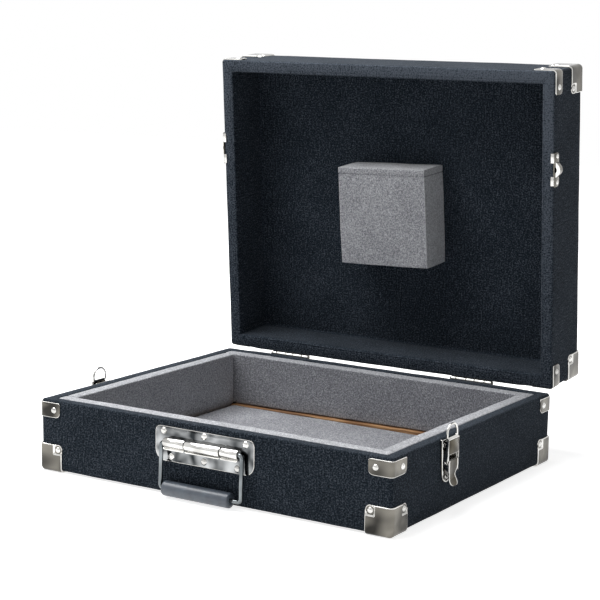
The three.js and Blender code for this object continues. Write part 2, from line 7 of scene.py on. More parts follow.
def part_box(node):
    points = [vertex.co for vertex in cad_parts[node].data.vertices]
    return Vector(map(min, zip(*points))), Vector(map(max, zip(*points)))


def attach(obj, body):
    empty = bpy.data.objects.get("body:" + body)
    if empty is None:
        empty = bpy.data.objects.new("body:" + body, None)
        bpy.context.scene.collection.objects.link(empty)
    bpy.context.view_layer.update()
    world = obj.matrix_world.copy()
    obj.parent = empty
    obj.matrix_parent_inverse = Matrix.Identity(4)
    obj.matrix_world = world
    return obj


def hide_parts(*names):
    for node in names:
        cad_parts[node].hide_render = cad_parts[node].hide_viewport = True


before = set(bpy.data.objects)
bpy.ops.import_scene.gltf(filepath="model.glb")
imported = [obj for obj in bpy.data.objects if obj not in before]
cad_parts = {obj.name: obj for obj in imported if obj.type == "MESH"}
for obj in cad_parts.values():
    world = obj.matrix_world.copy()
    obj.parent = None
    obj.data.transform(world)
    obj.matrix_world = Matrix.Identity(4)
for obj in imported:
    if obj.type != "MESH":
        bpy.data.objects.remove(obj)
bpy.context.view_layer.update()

# Camera. A short telephoto at the front right corner, a little above the open case and tipped down.
# Its place is measured from the middle of the base.
base_low, base_high = [Vector(corner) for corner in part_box("base_carpet")]
CASE_Y = (base_low.y + base_high.y) / 2
CAMERA_AT = Vector((1.2150, CASE_Y - 1.9063, 0.6066))
YAW, PITCH, ROLL = math.radians(-32.558), math.radians(-9.571), math.radians(0.855)
LENS, SENSOR = 104.07, 36


def new_object(name, data):
    """An object that holds this data, in the scene."""
    made = bpy.data.objects.new(name, data)
    bpy.context.scene.collection.objects.link(made)
    return made


camera = new_object("camera", bpy.data.cameras.new("camera"))
camera.data.lens = LENS
camera.data.sensor_width = SENSOR
tipped = Matrix.Rotation(math.pi / 2 + PITCH, 4, "X") @ Matrix.Rotation(ROLL, 4, "Z")
camera.matrix_world = Matrix.Translation(CAMERA_AT) @ Matrix.Rotation(-YAW, 4, "Z") @ tipped
bpy.context.scene.camera = camera
bpy.context.scene.view_settings.view_transform = "Standard"

# Studio. A seamless white paper floor under a wide softbox, overhead and to the left, with two weak
# ones near the camera, so that tops are lightest, fronts next and the right-hand sides darkest.
FLOOR_SIZE, FLOOR_GAP = 9.0, 0.0002
PAPER, PAPER_GLOW = 0.85, 0.80
GLOW_NEAR, GLOW_FAR = 0.55, 1.6
ROOM_LIGHT = 0.11
SOFTBOXES = {
    "overhead_softbox": ((-0.85, -0.15, 2.1), (0, 0, 0.1), 2.0, 80),
    "front_left_softbox": ((-1.5, -2.3, 1.5), (0, 0, 0.2), 1.2, 1.5),
    "right_fill": ((1.9, -1.4, 0.9), (0, 0, 0.2), 0.8, 2.0),
}


def wire(tree, node, feeds):
    """Gives a node's inputs their values, or their links from sockets or from nodes' first outputs."""
    for name, value in feeds.items():
        if isinstance(value, bpy.types.Node):
            value = value.outputs[0]
        if isinstance(value, bpy.types.NodeSocket):
            tree.links.new(value, node.inputs[name])
        else:
            node.inputs[name].default_value = value


def add(tree, kind, feeds=(), stops=(), **settings):
    """Adds a node with its settings, its inputs and, for a colour ramp, its stops."""
    made = tree.nodes.new(kind)
    for name, value in settings.items():
        setattr(made, name, value)
    wire(tree, made, dict(feeds))
    for number, (position, colour) in enumerate(stops):
        elements = made.color_ramp.elements
        stop = elements[number] if number < 2 else elements.new(position)
        stop.position = position
        stop.color = colour
    return made


def seen_rays(tree):
    """Is 1 for a ray that shows the background, straight or in a reflection, and 0 for one that lights."""
    ray = add(tree, "ShaderNodeLightPath").outputs
    total = add(tree, "ShaderNodeMath", {0: ray["Is Camera Ray"], 1: ray["Is Glossy Ray"]})
    return add(tree, "ShaderNodeMath", {0: total, 1: ray["Is Transmission Ray"]}, use_clamp=True)


world = bpy.data.worlds.new("studio")
world.use_nodes = True
tree = world.node_tree
tree.nodes.clear()
strength = add(tree, "ShaderNodeMapRange", {"Value": seen_rays(tree), "To Min": ROOM_LIGHT})
glow = add(tree, "ShaderNodeBackground", {"Color": (1, 1, 1, 1), "Strength": strength})
add(tree, "ShaderNodeOutputWorld", {"Surface": glow})
bpy.context.scene.world = world

paper = bpy.data.materials.new("White seamless paper")
paper.use_nodes = True
tree = paper.node_tree
tree.nodes.clear()
matte = add(tree, "ShaderNodeBsdfDiffuse", {"Color": (PAPER, PAPER, PAPER, 1)})
spot = add(tree, "ShaderNodeTexCoord").outputs["Object"]
far = add(tree, "ShaderNodeVectorMath", {0: spot}, operation="LENGTH").outputs["Value"]
glow_span = {"Value": far, "From Min": GLOW_NEAR, "From Max": GLOW_FAR, "To Min": PAPER_GLOW}
shine = add(tree, "ShaderNodeMapRange", glow_span)
lift = add(tree, "ShaderNodeMath", {0: seen_rays(tree), 1: shine}, operation="MULTIPLY")
glow = add(tree, "ShaderNodeEmission", {"Strength": lift})
both = add(tree, "ShaderNodeAddShader", {0: matte, 1: glow})
add(tree, "ShaderNodeOutputMaterial", {"Surface": both})
half = FLOOR_SIZE / 2
floor_corners = [(-half, -half), (half, -half), (half, half), (-half, half)]
floor_mesh = bpy.data.meshes.new("paper_floor")
floor_mesh.from_pydata([(x, y, -FLOOR_GAP) for x, y in floor_corners], [], [(0, 1, 2, 3)])
floor_mesh.materials.append(paper)
new_object("paper_floor", floor_mesh)

for name, (place, target, size, power) in SOFTBOXES.items():
    lamp = bpy.data.lights.new(name, "AREA")
    lamp.size = size
    lamp.energy = power
    aim = (Vector(target) - Vector(place)).to_track_quat("-Z", "Y")
    new_object(name, lamp).matrix_world = Matrix.Translation(place) @ aim.to_matrix().to_4x4()

# Plywood. Both boxes are butt-jointed 9 mm birch ply, glued and stapled. Carpet and foam hide it,
# apart from a bare strip along the rear of the floor, so the CAD panels stay and get the wood.
PLY_GRAIN, PLY_STRETCH, PLY_CLOUDS_PER_M = 0.0028, 0.06, 9
WALLS = ("front", "rear", "left", "right")
PLY_NODES = [f"{box}_{wall}_panel" for box in ("base", "lid") for wall in WALLS]


def linear(hex_colour):
    """An sRGB hex colour as the linear values that a node takes."""
    parts = [int(hex_colour[i:i + 2], 16) / 255 for i in (1, 3, 5)]
    return [p / 12.92 if p <= 0.04045 else ((p + 0.055) / 1.055) ** 2.4 for p in parts] + [1.0]


def surface(name, **constants):
    """A material of one Principled shader with these constants: the material, its tree and the shader."""
    made = bpy.data.materials.new(name)
    made.use_nodes = True
    shader = made.node_tree.nodes["Principled BSDF"]
    wire(made.node_tree, shader, {socket.replace("_", " "): value for socket, value in constants.items()})
    return made, made.node_tree, shader


def blend(tree, pattern, *others):
    """A pattern with others added to it, each by its own share."""
    for other, share in others:
        pattern = add(tree, "ShaderNodeMath", {0: other, 1: share, 2: pattern}, operation="MULTIPLY_ADD")
    return pattern


def dress(tree, shader, level, stops, relief, distance, strength):
    """Colours the shader through a ramp and gives it relief, whose node it returns."""
    ramp = add(tree, "ShaderNodeValToRGB", {"Fac": level}, [(at, linear(colour)) for at, colour in stops])
    ridge = add(tree, "ShaderNodeBump", {"Height": relief, "Distance": distance, "Strength": strength})
    wire(tree, shader, {"Base Color": ramp, "Normal": ridge})
    return ridge


# Warm orange-brown veneer whose grain runs along the strip in fine darker and paler streaks.
birch_ply, tree, shader = surface("Birch plywood, sawn and unfinished", Roughness=0.72)
place = add(tree, "ShaderNodeTexCoord").outputs["Object"]
stretch = (PLY_STRETCH / PLY_GRAIN, 1 / PLY_GRAIN, 1 / PLY_GRAIN)
along = add(tree, "ShaderNodeMapping", {"Vector": place, "Scale": stretch})
grain = add(tree, "ShaderNodeTexNoise", {"Vector": along, "Scale": 1, "Detail": 5, "Distortion": 0.6})
clouds = add(tree, "ShaderNodeTexNoise", {"Vector": place, "Scale": PLY_CLOUDS_PER_M, "Detail": 2})
tone = blend(tree, 0, (grain, 0.5), (clouds, 0.5))
dress(tree, shader, tone, [(0.38, "#44301f"), (0.62, "#b38a60"), (0.50, "#825b38")], grain, 0.0003, 0.5)
for name in PLY_NODES + ["base_bottom_panel", "lid_top_panel"]:
    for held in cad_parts[name].material_slots:
        held.material = birch_ply

# Base carpet. Ribbed needle-punched carpet glued over the box, wrapped round every edge and turned
# down inside over the rim. Drawn in millimetres from the middle of the base, as all pieces are.
MM = 0.001
WIDTH, DEPTH = 530.0, 430.0
CASE = Matrix.Translation((0, CASE_Y, 0)) @ Matrix.Scale(MM, 4)
CARPET, EDGE_ROUND, RIM_ROUND, LEAST_ROUND = 3.0, 4.0, 2.2, 0.3
STEPS_ACROSS, STEPS_ALONG = 44, 36
BASE_Z, RIM_Z = 2.4, 96.0
BASE_LINING_IN, BASE_TURN_END = 15.4, 12.6
PLY_CLEAR_IN, FLAT_IN = 12.6, 30.0
FITTINGS_REACH, SWELL_RUN = 232.0, 20.0
RIM_SWELL, RIM_SWELL_DEPTH = 0.8, 3.5
CARPET_RIPPLE, NOISE_SEED = (0.35, 45), 3
RIB, RIB_LENGTH, FIBRE, SHADES_PER_M = 0.0022, 0.16, 0.0021, 14
RIB_SHARE, SHADE_SHARE, NAP_LEVEL, RUBBED_AND_LIT_PALER = 0.25, 0.12, 0.73, 0.16

# Near-black blue-grey: a speckle of tangled fibres over faint upright ribs, with a paler nap and no
# shine. The fibres are drawn about four times coarser than real so that they show.
box_carpet, tree, shader = surface(
    "Needle punched polypropylene carpet", Roughness=0.95, Specular_IOR_Level=0.15,
    Sheen_Weight=0.30, Sheen_Roughness=0.3, Sheen_Tint=linear("#c6c9d0"))
weave = add(tree, "ShaderNodeUVMap", uv_map="weave")
rib_place = add(tree, "ShaderNodeMapping", {"Vector": weave, "Scale": (1 / RIB, RIB_LENGTH / RIB, 1)})
ribs = add(tree, "ShaderNodeTexNoise", {"Vector": rib_place, "Scale": 1, "Detail": 1})
fibre_feeds = {"Vector": weave, "Scale": 1 / FIBRE, "Detail": 2, "Roughness": 0.7}
fibres = add(tree, "ShaderNodeTexNoise", fibre_feeds)
shades = add(tree, "ShaderNodeTexNoise", {"Vector": weave, "Scale": SHADES_PER_M, "Detail": 2})
# The rubbed attribute pales the carpet over the lid's rim: partly real rubbing, partly painted light where
# the rim is lit most.
rubbed = add(tree, "ShaderNodeAttribute", attribute_name="rubbed").outputs["Fac"]
nap = blend(tree, fibres, (ribs, RIB_SHARE))
shaded = blend(tree, nap, (shades, SHADE_SHARE))
tone = blend(tree, 0, (shaded, NAP_LEVEL), (rubbed, RUBBED_AND_LIT_PALER))
dress(tree, shader, tone, [(0.37, "#060c12"), (0.66, "#585f69"), (0.50, "#1d262f")], nap, 0.0004, 0.7)


def arc(centre, radius, start, end, steps):
    """Points on a circle between two angles in degrees, both ends kept."""
    angles = [math.radians(start + (end - start) * i / steps) for i in range(steps + 1)]
    return [(centre[0] + radius * math.cos(a), centre[1] + radius * math.sin(a)) for a in angles]


def loft(rings, closed=False):
    """A skin over rings of equally many points: either its ends are filled, or it closes on itself."""
    count = len(rings[0])
    points = [Vector(point) for ring in rings for point in ring]
    faces = []
    for ring in range(len(rings) if closed else len(rings) - 1):
        here, there = ring * count, (ring + 1) % len(rings) * count
        for k in range(count):
            after = (k + 1) % count
            faces.append((here + k, here + after, there + after, there + k))
    if not closed:
        faces.append(tuple(reversed(range(count))))
        faces.append(tuple(range(len(points) - count, len(points))))
    return points, faces


def together(*solids):
    """Several solids as one."""
    points, faces = [], []
    for more_points, more_faces in solids:
        start = len(points)
        points += [Vector(point) for point in more_points]
        faces += [tuple(start + corner for corner in face) for face in more_faces]
    return points, faces


def clamped(value):
    """Kept between 0 and 1."""
    return min(max(value, 0), 1)


def eased(value):
    """Kept between 0 and 1, with a soft start and end."""
    share = clamped(value)
    return share * share * (3 - 2 * share)


def piece(name, solid, place, finish, body, node, sharp=35, highlighted=((), ()), edges=(), wear_and_light=None):
    """One finished object, put in place and given to its body; its second solid and listed faces get the
    paler plating as a painted highlight.
    """
    points, faces = together(solid, highlighted)
    highlight_faces = [*range(len(solid[1]), len(faces)), *edges]
    mesh = bpy.data.meshes.new(name)
    mesh.from_pydata(points, [], faces)
    for number in highlight_faces:
        mesh.polygons[number].material_index = 1
    if wear_and_light:
        # The rubbed attribute carries real rubbing and painted light, as each piece's function gives it.
        rubbed_and_lit = mesh.attributes.new("rubbed", "FLOAT", "POINT")
        for number, point in enumerate(points):
            rubbed_and_lit.data[number].value = clamped(wear_and_light(point))
    work = bmesh.new()
    work.from_mesh(mesh)
    bmesh.ops.remove_doubles(work, verts=work.verts, dist=0.002)
    bmesh.ops.recalc_face_normals(work, faces=work.faces)
    weave_map = work.loops.layers.uv.new("weave")
    for face in work.faces:
        facing = max(range(3), key=lambda axis: abs(face.normal[axis]))
        across, up = ((1, 2), (0, 2), (0, 1))[facing]
        for loop in face.loops:
            loop[weave_map].uv = (loop.vert.co[across] * MM, loop.vert.co[up] * MM)
    work.transform(place)
    bmesh.ops.recalc_face_normals(work, faces=work.faces)
    work.to_mesh(mesh)
    work.free()
    mesh.shade_smooth()
    mesh.set_sharp_from_angle(angle=math.radians(sharp))
    for material in [finish, highlight_metal] if highlight_faces else [finish]:
        mesh.materials.append(material)
    made = new_object(name, mesh)
    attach(made, body)
    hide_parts(node)
    return made


def box_ring(inset, height, corner):
    """The box's outline at one height, set in from the carpet's outside, with rounded corners."""
    corner = max(corner, LEAST_ROUND)
    x, y = WIDTH / 2 - inset - corner, DEPTH / 2 - inset - corner
    centres = [(x, y), (-x, y), (-x, -y), (x, -y)]
    turns = [arc(centre, corner, 90 * k, 90 * k + 90, 5) for k, centre in enumerate(centres)]
    ring = []
    for turn, after, steps in zip(turns, turns[1:] + turns[:1], (STEPS_ACROSS, STEPS_ALONG) * 2):
        (x0, y0), (x1, y1) = turn[-1], after[0]
        ring += turn + [(x0 + (x1 - x0) * i / steps, y0 + (y1 - y0) * i / steps) for i in range(1, steps)]
    return [(px, py, height) for px, py in ring]


def wrapped_carpet(outer, rim, turn_in, turn_end):
    """The carpet round an open box, from its outer face at one height to its rim at another."""
    way = 1 if rim > outer else -1
    deep = abs(rim - outer)
    inner = turn_in - RIM_ROUND
    quarter = arc((0, 0), 1, 0, 90, 5)
    profile = [(FLAT_IN, 0), (12, 0)] + [(EDGE_ROUND * (1 - s), EDGE_ROUND * (1 - c)) for c, s in quarter]
    profile += [(0, EDGE_ROUND + (deep - EDGE_ROUND - RIM_ROUND) * i / 10) for i in range(1, 10)]
    profile += [(RIM_ROUND * (1 - c), deep - RIM_ROUND * (1 - s)) for c, s in quarter]
    profile += [(inner / 2 + 1.5, deep)]
    profile += [(inner + RIM_ROUND * s, deep - RIM_ROUND * (1 - c)) for c, s in quarter]
    profile += [(turn_in, deep * 0.6), (turn_in, turn_end), (PLY_CLEAR_IN, turn_end)]
    profile += [(PLY_CLEAR_IN, deep - CARPET), (CARPET, deep - CARPET), (CARPET, CARPET), (FLAT_IN, CARPET)]
    return loft([box_ring(inset, outer + way * depth, EDGE_ROUND - inset) for inset, depth in profile])


# One seed for all the ripples, so that every run draws the same ones.
noise.seed_set(NOISE_SEED)


def rippled(points, amount, spacing, seed):
    """Small uneven shifts, as in anything stretched or cut by hand."""
    shift = Vector((seed * 7.3, seed * 3.1, seed * 5.7))
    return [point + amount * noise.noise_vector(point / spacing + shift) for point in points]


def between_corners(x):
    """Is 1 along the middle of a side and falls to 0 where the corner fittings press the carpet flat."""
    return eased((FITTINGS_REACH - abs(x)) / SWELL_RUN)


points, faces = wrapped_carpet(BASE_Z, RIM_Z, BASE_LINING_IN, BASE_TURN_END)
for point in points:
    if point.y > DEPTH / 2 - BASE_LINING_IN - 0.5 and point.z > RIM_Z - RIM_SWELL_DEPTH:
        point.z += RIM_SWELL * between_corners(point.x)
base_cover = (rippled(points, *CARPET_RIPPLE, 1), faces)
piece("carpet_base", base_cover, CASE, box_carpet, "base", "base_carpet", 60)

# Floor pad and wall strips. Charcoal packaging foam, cut from sheet and glued in: a thick strip on
# each wall, the rear one cut on a slant along its lower edge, and a thin pad between them.
FOAM, GLUE = 17.5, 0.3
FOAM_X, FOAM_Y = WIDTH / 2 - BASE_LINING_IN - GLUE, DEPTH / 2 - BASE_LINING_IN - GLUE
PAD_LEFT, PAD_RIGHT, PAD_FRONT = -226.0, 231.5, -181.5
PAD_LOW, PAD_TOP = 15.0, 20.5
PAD_REAR_LEFT, PAD_REAR_RIGHT = 171.0, 168.5
STRIP_LOW, STRIP_TOP = 15.0, 95.6
REAR_LOW_LEFT, REAR_LOW_RIGHT = 21.6, 26.5
STRIP_SHORT, UNDERCUT, UNDERCUT_TOP = 1.6, 6.0, 22.8
UNDERCUT_ROW, FACE_DEEP = 30.0, 3.0
PAD_SHAPE, STRIP_SHAPE = (0.8, 9, 0), (2.0, 9, 0.5)
FOAM_RIPPLE = (0.45, 38)
FOAM_CELL, CLOUDS_PER_M = 0.0013, 18
CELL_SHARE, CLOUD_SHARE, LIT_PALER, FOAM_LEVEL = 0.35, 0.12, 0.27, 0.855
PALE_DEPTH, PALE_FADE = 2.0, 1.5

# Mid grey with a slightly violet cast, speckled by open cells: dark pores between paler walls, drawn
# about twice as coarse as real so that they show.
cut_foam, tree, shader = surface(
    "Charcoal polyurethane foam, knife cut", Roughness=0.96, Specular_IOR_Level=0.2, Sheen_Weight=0.15)
place = add(tree, "ShaderNodeTexCoord").outputs["Object"]
cells = add(tree, "ShaderNodeTexVoronoi", {"Vector": place, "Scale": 1 / FOAM_CELL})
grit_feeds = {"Vector": place, "Scale": 0.55 / FOAM_CELL, "Detail": 4, "Roughness": 0.7}
grit = add(tree, "ShaderNodeTexNoise", grit_feeds)
clouds = add(tree, "ShaderNodeTexNoise", {"Vector": place, "Scale": CLOUDS_PER_M, "Detail": 2})
# On foam the rubbed attribute carries only painted light: tops and faces painted paler by how they are lit.
lit_paleness = add(tree, "ShaderNodeAttribute", attribute_name="rubbed").outputs["Fac"]
pores = blend(tree, grit, (cells, CELL_SHARE))
tone = blend(tree, 0, (blend(tree, pores, (clouds, CLOUD_SHARE), (lit_paleness, LIT_PALER)), FOAM_LEVEL))
dress(tree, shader, tone, [(0.40, "#4e4f54"), (1.0, "#e2e4e7"), (0.62, "#86878d")], pores, 0.0006, 0.7)


def grid(start, columns, rows):
    """The quads of a sheet of points that are numbered from start, column after column."""
    corners = [start + i * rows + j for i in range(columns - 1) for j in range(rows - 1)]
    return [(corner, corner + 1, corner + rows + 1, corner + rows) for corner in corners]


def soft_block(low, high, edge, step, swell, seed):
    """A foam block with soft edges and faintly swollen, uneven faces."""
    lines = []
    for start, end in zip(low, high):
        count = max(2, round((end - start - 2 * edge) / step))
        middle = [start + edge + (end - start - 2 * edge) * i / count for i in range(count + 1)]
        lines.append([start, start + 0.35 * edge] + middle + [end - 0.35 * edge, end])
    points, faces = [], []
    for axis in range(3):
        u, v = [other for other in range(3) if other != axis]
        for side in (0, -1):
            faces += grid(len(points), len(lines[u]), len(lines[v]))
            for a in lines[u]:
                for b in lines[v]:
                    point = Vector()
                    point[axis], point[u], point[v] = lines[axis][side], a, b
                    points.append(point)
    shaped = []
    for point in points:
        core = Vector([min(max(point[i], low[i] + edge), high[i] - edge) for i in range(3)])
        out = (point - core).normalized()
        swelling = swell
        for i in range(3):
            share = (point[i] - low[i]) / (high[i] - low[i])
            if abs(out[i]) < 0.5:
                swelling *= 1 - (2 * share - 1) ** 4
        shaped.append(core + out * (edge + swelling))
    return rippled(shaped, *FOAM_RIPPLE, seed), faces


def foam_piece(name, solid, place, body, node, wear_and_light=None):
    """A foam piece in its node's place."""
    piece(name, solid, place, cut_foam, body, node, 70, wear_and_light=wear_and_light)


pad_corners = ((PAD_LEFT, PAD_FRONT, PAD_LOW), (PAD_RIGHT, PAD_REAR_LEFT, PAD_TOP))
points, faces = soft_block(*pad_corners, *PAD_SHAPE, 2)
for point in points:
    rearward = (point.y - PAD_FRONT) / (PAD_REAR_LEFT - PAD_FRONT)
    rightward = (point.x - PAD_LEFT) / (PAD_RIGHT - PAD_LEFT)
    point.y -= rearward * rightward * (PAD_REAR_LEFT - PAD_REAR_RIGHT)
foam_piece("foam_floor_pad", (points, faces), CASE, "base", "floor_pad")

# The bare batten, its top planed to follow the slant of the strip above it.
BATTEN_X, BATTEN_FRONT, BATTEN_REAR, BATTEN_UNDER_STRIP = 231.5, 173.0, 199.3, 1.5
batten_rings = []
for step in range(41):
    share = step / 40
    top = REAR_LOW_LEFT + share * (REAR_LOW_RIGHT - REAR_LOW_LEFT) - BATTEN_UNDER_STRIP
    section = [(BATTEN_FRONT, PAD_LOW), (BATTEN_REAR, PAD_LOW), (BATTEN_REAR, top)]
    section += [(BATTEN_FRONT + 0.6, top), (BATTEN_FRONT + 0.15, top - 0.2), (BATTEN_FRONT, top - 0.6)]
    batten_rings.append([(BATTEN_X * (2 * share - 1), y, z) for y, z in section])
points, faces = loft(batten_rings)
batten = (rippled(points, 0.25, 30, 5), faces)
piece("rear_wood_batten", batten, CASE, birch_ply, "base", "rear_batten")

strip_x, strip_front, strip_rear = FOAM_X - FOAM, FOAM - FOAM_Y, FOAM_Y - FOAM - 1.5
side_front, side_rear = strip_front + 0.2, strip_rear - STRIP_SHORT
# Each strip: its low and high corners, its seed, how much paler its top is painted and how much paler the
# whole strip is painted, both painted light.
STRIPS = {
    "front": ((-FOAM_X, -FOAM_Y, STRIP_LOW), (FOAM_X, strip_front, STRIP_TOP), 3, 0.63, 0),
    "rear": ((-FOAM_X, strip_rear, REAR_LOW_LEFT), (FOAM_X, FOAM_Y, STRIP_TOP), 4, 0.35, 0),
    "left": ((-FOAM_X, side_front, STRIP_LOW), (-strip_x, side_rear, STRIP_TOP), 5, 0.46, 0.4),
    "right": ((strip_x, side_front, STRIP_LOW), (FOAM_X, side_rear, STRIP_TOP), 7, 0.5, 0),
}
for name, (low, high, seed, top_painted_light, face_painted_light) in STRIPS.items():
    points, faces = soft_block(low, high, *STRIP_SHAPE, seed)
    for point in points:
        if name == "rear":
            downward = (STRIP_TOP - point.z) / (STRIP_TOP - REAR_LOW_LEFT)
            rightward = (point.x + FOAM_X) / (2 * FOAM_X)
            point.z += downward * rightward * (REAR_LOW_RIGHT - REAR_LOW_LEFT)
        elif name in ("left", "right") and UNDERCUT_TOP < point.z < UNDERCUT_ROW:
            point.z = UNDERCUT_TOP
        elif name in ("left", "right") and point.z < UNDERCUT_TOP and abs(point.x) < strip_x + FACE_DEEP:
            point.x += math.copysign(UNDERCUT, point.x)

    def strip_painted_light(point):
        """Painted light: each strip's top is painted paler by how it is lit, fading out just below the top,
        and the whole left strip a little paler.
        """
        lit_paleness = min((point[2] - STRIP_TOP + PALE_DEPTH) / PALE_FADE, 1)
        return max(top_painted_light * lit_paleness, face_painted_light)

    foam_piece(f"foam_wall_{name}", (points, faces), CASE, "base", f"foam_strip_{name}", strip_painted_light)

# Lid carpet and lining. The same carpet wraps the lid and turns in over its rim, and a second sheet
# lines the recess. Lid pieces are drawn closed and swung to the stop about the hinge's axis.
LID_Z, CLOSED_Z = 98.0, 185.0
OPEN_ANGLE = 86.0
PIVOT_Y, PIVOT_Z = 218.5, 97.0
LID_TURN_IN, LID_TURN_END = 14.6, 12.4
LINING_BACK_IN, LINING_IN = 14.9, 17.6
CEILING_Z, LINING_TOP_Z = 169.4, 172.4
LAP_START, LINING_STEPS = 4, 8
REAR_SWELL, REAR_SWELL_DEPTH = 1.2, 4.0
# The lining's edge laps the inside of the rim: inwards from its back, and up from the rim.
LINING_LAP = [(2.7, LAP_START), (2.45, 2.2), (1.7, 0.9), (0.5, 0.25)]
LINING_LAP += [(-0.8, 0.35), (-1.5, 1.2), (-0.5, 3.4), (0, 6)]
pivot = Matrix.Translation((0, PIVOT_Y, PIVOT_Z))
LID = CASE @ pivot @ Matrix.Rotation(math.radians(-OPEN_ANGLE), 4, "X") @ pivot.inverted()


def lid_rim_wear_and_light(point):
    """Pales the carpet over the lid's rim, most at the front right: partly real rubbing, partly painted
    light on the best lit parts of the rim.
    """
    over_rim = clamped((LID_Z + RIM_ROUND - point[2]) / 2)
    frontward = 0.5 - point[1] / DEPTH
    rightward = 0.5 + point[0] / WIDTH
    return over_rim * (0.3 + 0.7 * frontward ** 2) * (0.6 + 0.4 * rightward)


points, faces = wrapped_carpet(CLOSED_Z, LID_Z, LID_TURN_IN, LID_TURN_END)
for point in points:
    outward = clamped((point.y - DEPTH / 2 + REAR_SWELL_DEPTH) / REAR_SWELL_DEPTH)
    point.y += REAR_SWELL * outward * between_corners(point.x)
lid_cover = (rippled(points, *CARPET_RIPPLE, 9), faces)
piece("carpet_lid", lid_cover, LID, box_carpet, "lid", "lid_carpet", 60, wear_and_light=lid_rim_wear_and_light)

recess = CEILING_Z - LID_Z - LAP_START
profile = [(LINING_IN + 3, CEILING_Z), (LINING_IN + 1, CEILING_Z - 0.3), (LINING_IN, CEILING_Z - 1.5)]
profile += [(LINING_IN, CEILING_Z - recess * i / LINING_STEPS) for i in range(1, LINING_STEPS)]
profile += [(LINING_BACK_IN + inwards, LID_Z + up) for inwards, up in LINING_LAP]
profile += [(LINING_BACK_IN, LINING_TOP_Z - 1), (LINING_BACK_IN + 1, LINING_TOP_Z)]
lining = loft([box_ring(inset, height, 0.8) for inset, height in profile])
piece("carpet_lid_lining", lining, LID, box_carpet, "lid", "lid_lining", 60, wear_and_light=lid_rim_wear_and_light)

# Foam block. Two layers of the same foam bonded with a thin glue line, cut square and glued to the
# lining, where it presses on the deck. It sits a little off the middle and not quite straight.
BLOCK = Vector((140.0, 139.5, 55.0))
BLOCK_X, BLOCK_Y, BLOCK_TURN = -6.6, 1.8, -1.6
GLUE_LINE = 9.5
LAYER_EDGE, LAYER_STEP = 1.2, 4
FACE_BAND, JOINT_HALF = 0.8, 0.9
half = BLOCK / 2
joint = GLUE_LINE - half.y
thin_layer = soft_block(-half, (half.x, joint, half.z), LAYER_EDGE, LAYER_STEP, 0.3, 11)
thick_layer = soft_block((-half.x, joint, -half.z), half, LAYER_EDGE, LAYER_STEP, 0.5, 12)
turn = Matrix.Rotation(math.radians(BLOCK_TURN), 4, "Z")
seat = Matrix.Translation((BLOCK_X, BLOCK_Y, CEILING_Z - GLUE - half.z))


def block_painted_light(point):
    """Painted light, face by face: the cut ends palest, the face toward the closed lid's front next, the
    rest a little paler than the strips' faces; the glue line gets none.
    """
    if abs(point[1] - joint) < JOINT_HALF:
        return 0
    if point[1] < FACE_BAND - half.y:
        return 0.7
    return 1 if half.x - abs(point[0]) < FACE_BAND else 0.3


block = together(thin_layer, thick_layer)
foam_piece("foam_block", block, LID @ seat @ turn, "lid", "lid_foam_block", block_painted_light)

# Corner caps. Pressed steel, nickel plated, one over each of the eight corners: three flaps with
# rolled edges, each dipping at its far corner to a round lug that a dome rivet holds to the wood.
CAP_REACH, CAP_PROUD, CAP_ROUND, CAP_EDGE, CAP_IN = 35.0, 2.4, 6.4, 1.1, 0.3
LUG_PROUD, LUG_AT, LUG_RADIUS = 0.9, -28.2, 6.8
DIP_REACH, DIP_SLOPE, DIP_SQUARE = 5.6, 1.5, 5
CAP_HEAD, HEAD_SUNK = (4.0, 1.9), 0.1
WOBBLE, PATCH, PATCH_SEED, SCRATCH = 0.012, 0.032, 7.3, 0.0005
CORNERS = {"front_right": (1, -1), "front_left": (-1, -1), "rear_right": (1, 1), "rear_left": (-1, 1)}


def plating(name, roughness, dark, pale, patch=PATCH):
    """Nickel plate on steel: soft duller patches, faint buckles, and scratches drawn wider than real."""
    metal, tree, shader = surface(name, Metallic=1.0, Roughness=roughness)
    place = add(tree, "ShaderNodeTexCoord").outputs["Object"]
    buckle = add(tree, "ShaderNodeTexNoise", {"Vector": place, "Scale": 1 / WOBBLE, "Detail": 1})
    haze_feeds = {"Vector": place, "W": PATCH_SEED, "Scale": 1 / patch, "Detail": 1, "Distortion": 0.2}
    haze = add(tree, "ShaderNodeTexNoise", haze_feeds, noise_dimensions="4D")
    dull_span = {"From Min": 0.35, "From Max": 0.7, "To Min": 0.5 * roughness, "To Max": 1.4 * roughness}
    dull = add(tree, "ShaderNodeMapRange", {"Value": haze, **dull_span})
    streaks = {"Vector": place, "Scale": (0.25 / SCRATCH, 0.25 / SCRATCH, 1 / SCRATCH)}
    rub_place = add(tree, "ShaderNodeMapping", streaks)
    rub = add(tree, "ShaderNodeTexNoise", {"Vector": rub_place, "Scale": 1, "Detail": 2})
    rubbed = add(tree, "ShaderNodeBump", {"Height": rub, "Distance": 0.00001, "Strength": 0.3})
    ridge = dress(tree, shader, haze, [(0.34, dark), (0.68, pale)], buckle, 0.001, 0.5)
    wire(tree, ridge, {"Normal": rubbed})
    wire(tree, shader, {"Roughness": dull})
    return metal


# The flat pressings: a slightly warm mirror, darkened to mid grey as painted shade for dark reflections,
# and clouded at random.
darkened_metal = plating("Nickel plated steel, pressed, painted shade", 0.12, "#2d2c2a", "#76736c")
# Rivet heads, rolled edges and pressed ledges get a much paler copy of the same plating, a painted
# highlight, and stand out nearly white.
highlight_metal = plating("Nickel plated steel, painted highlight", 0.08, "#b0afac", "#dddcd9")
# The wire gets a copy set between the two, a painted mid grey for its reflections, with long highlights.
drawn = plating("Nickel plated steel wire, painted mid grey", 0.10, "#4c5153", "#868b8e")
# The latches get a browner, darker, duller copy of the same plating: painted shade for the dark
# surroundings they reflect.
shaded_latch_metal = plating("Nickel plated spring steel, painted shade", 0.16, "#2d2a25", "#635e52")
# The handle's plate gets a paler copy with small dark blotches: painted reflections, light and dark.
reflection_painted_metal = plating("Nickel plated steel, painted reflections", 0.07, "#26292b", "#a4a6a7", 0.021)

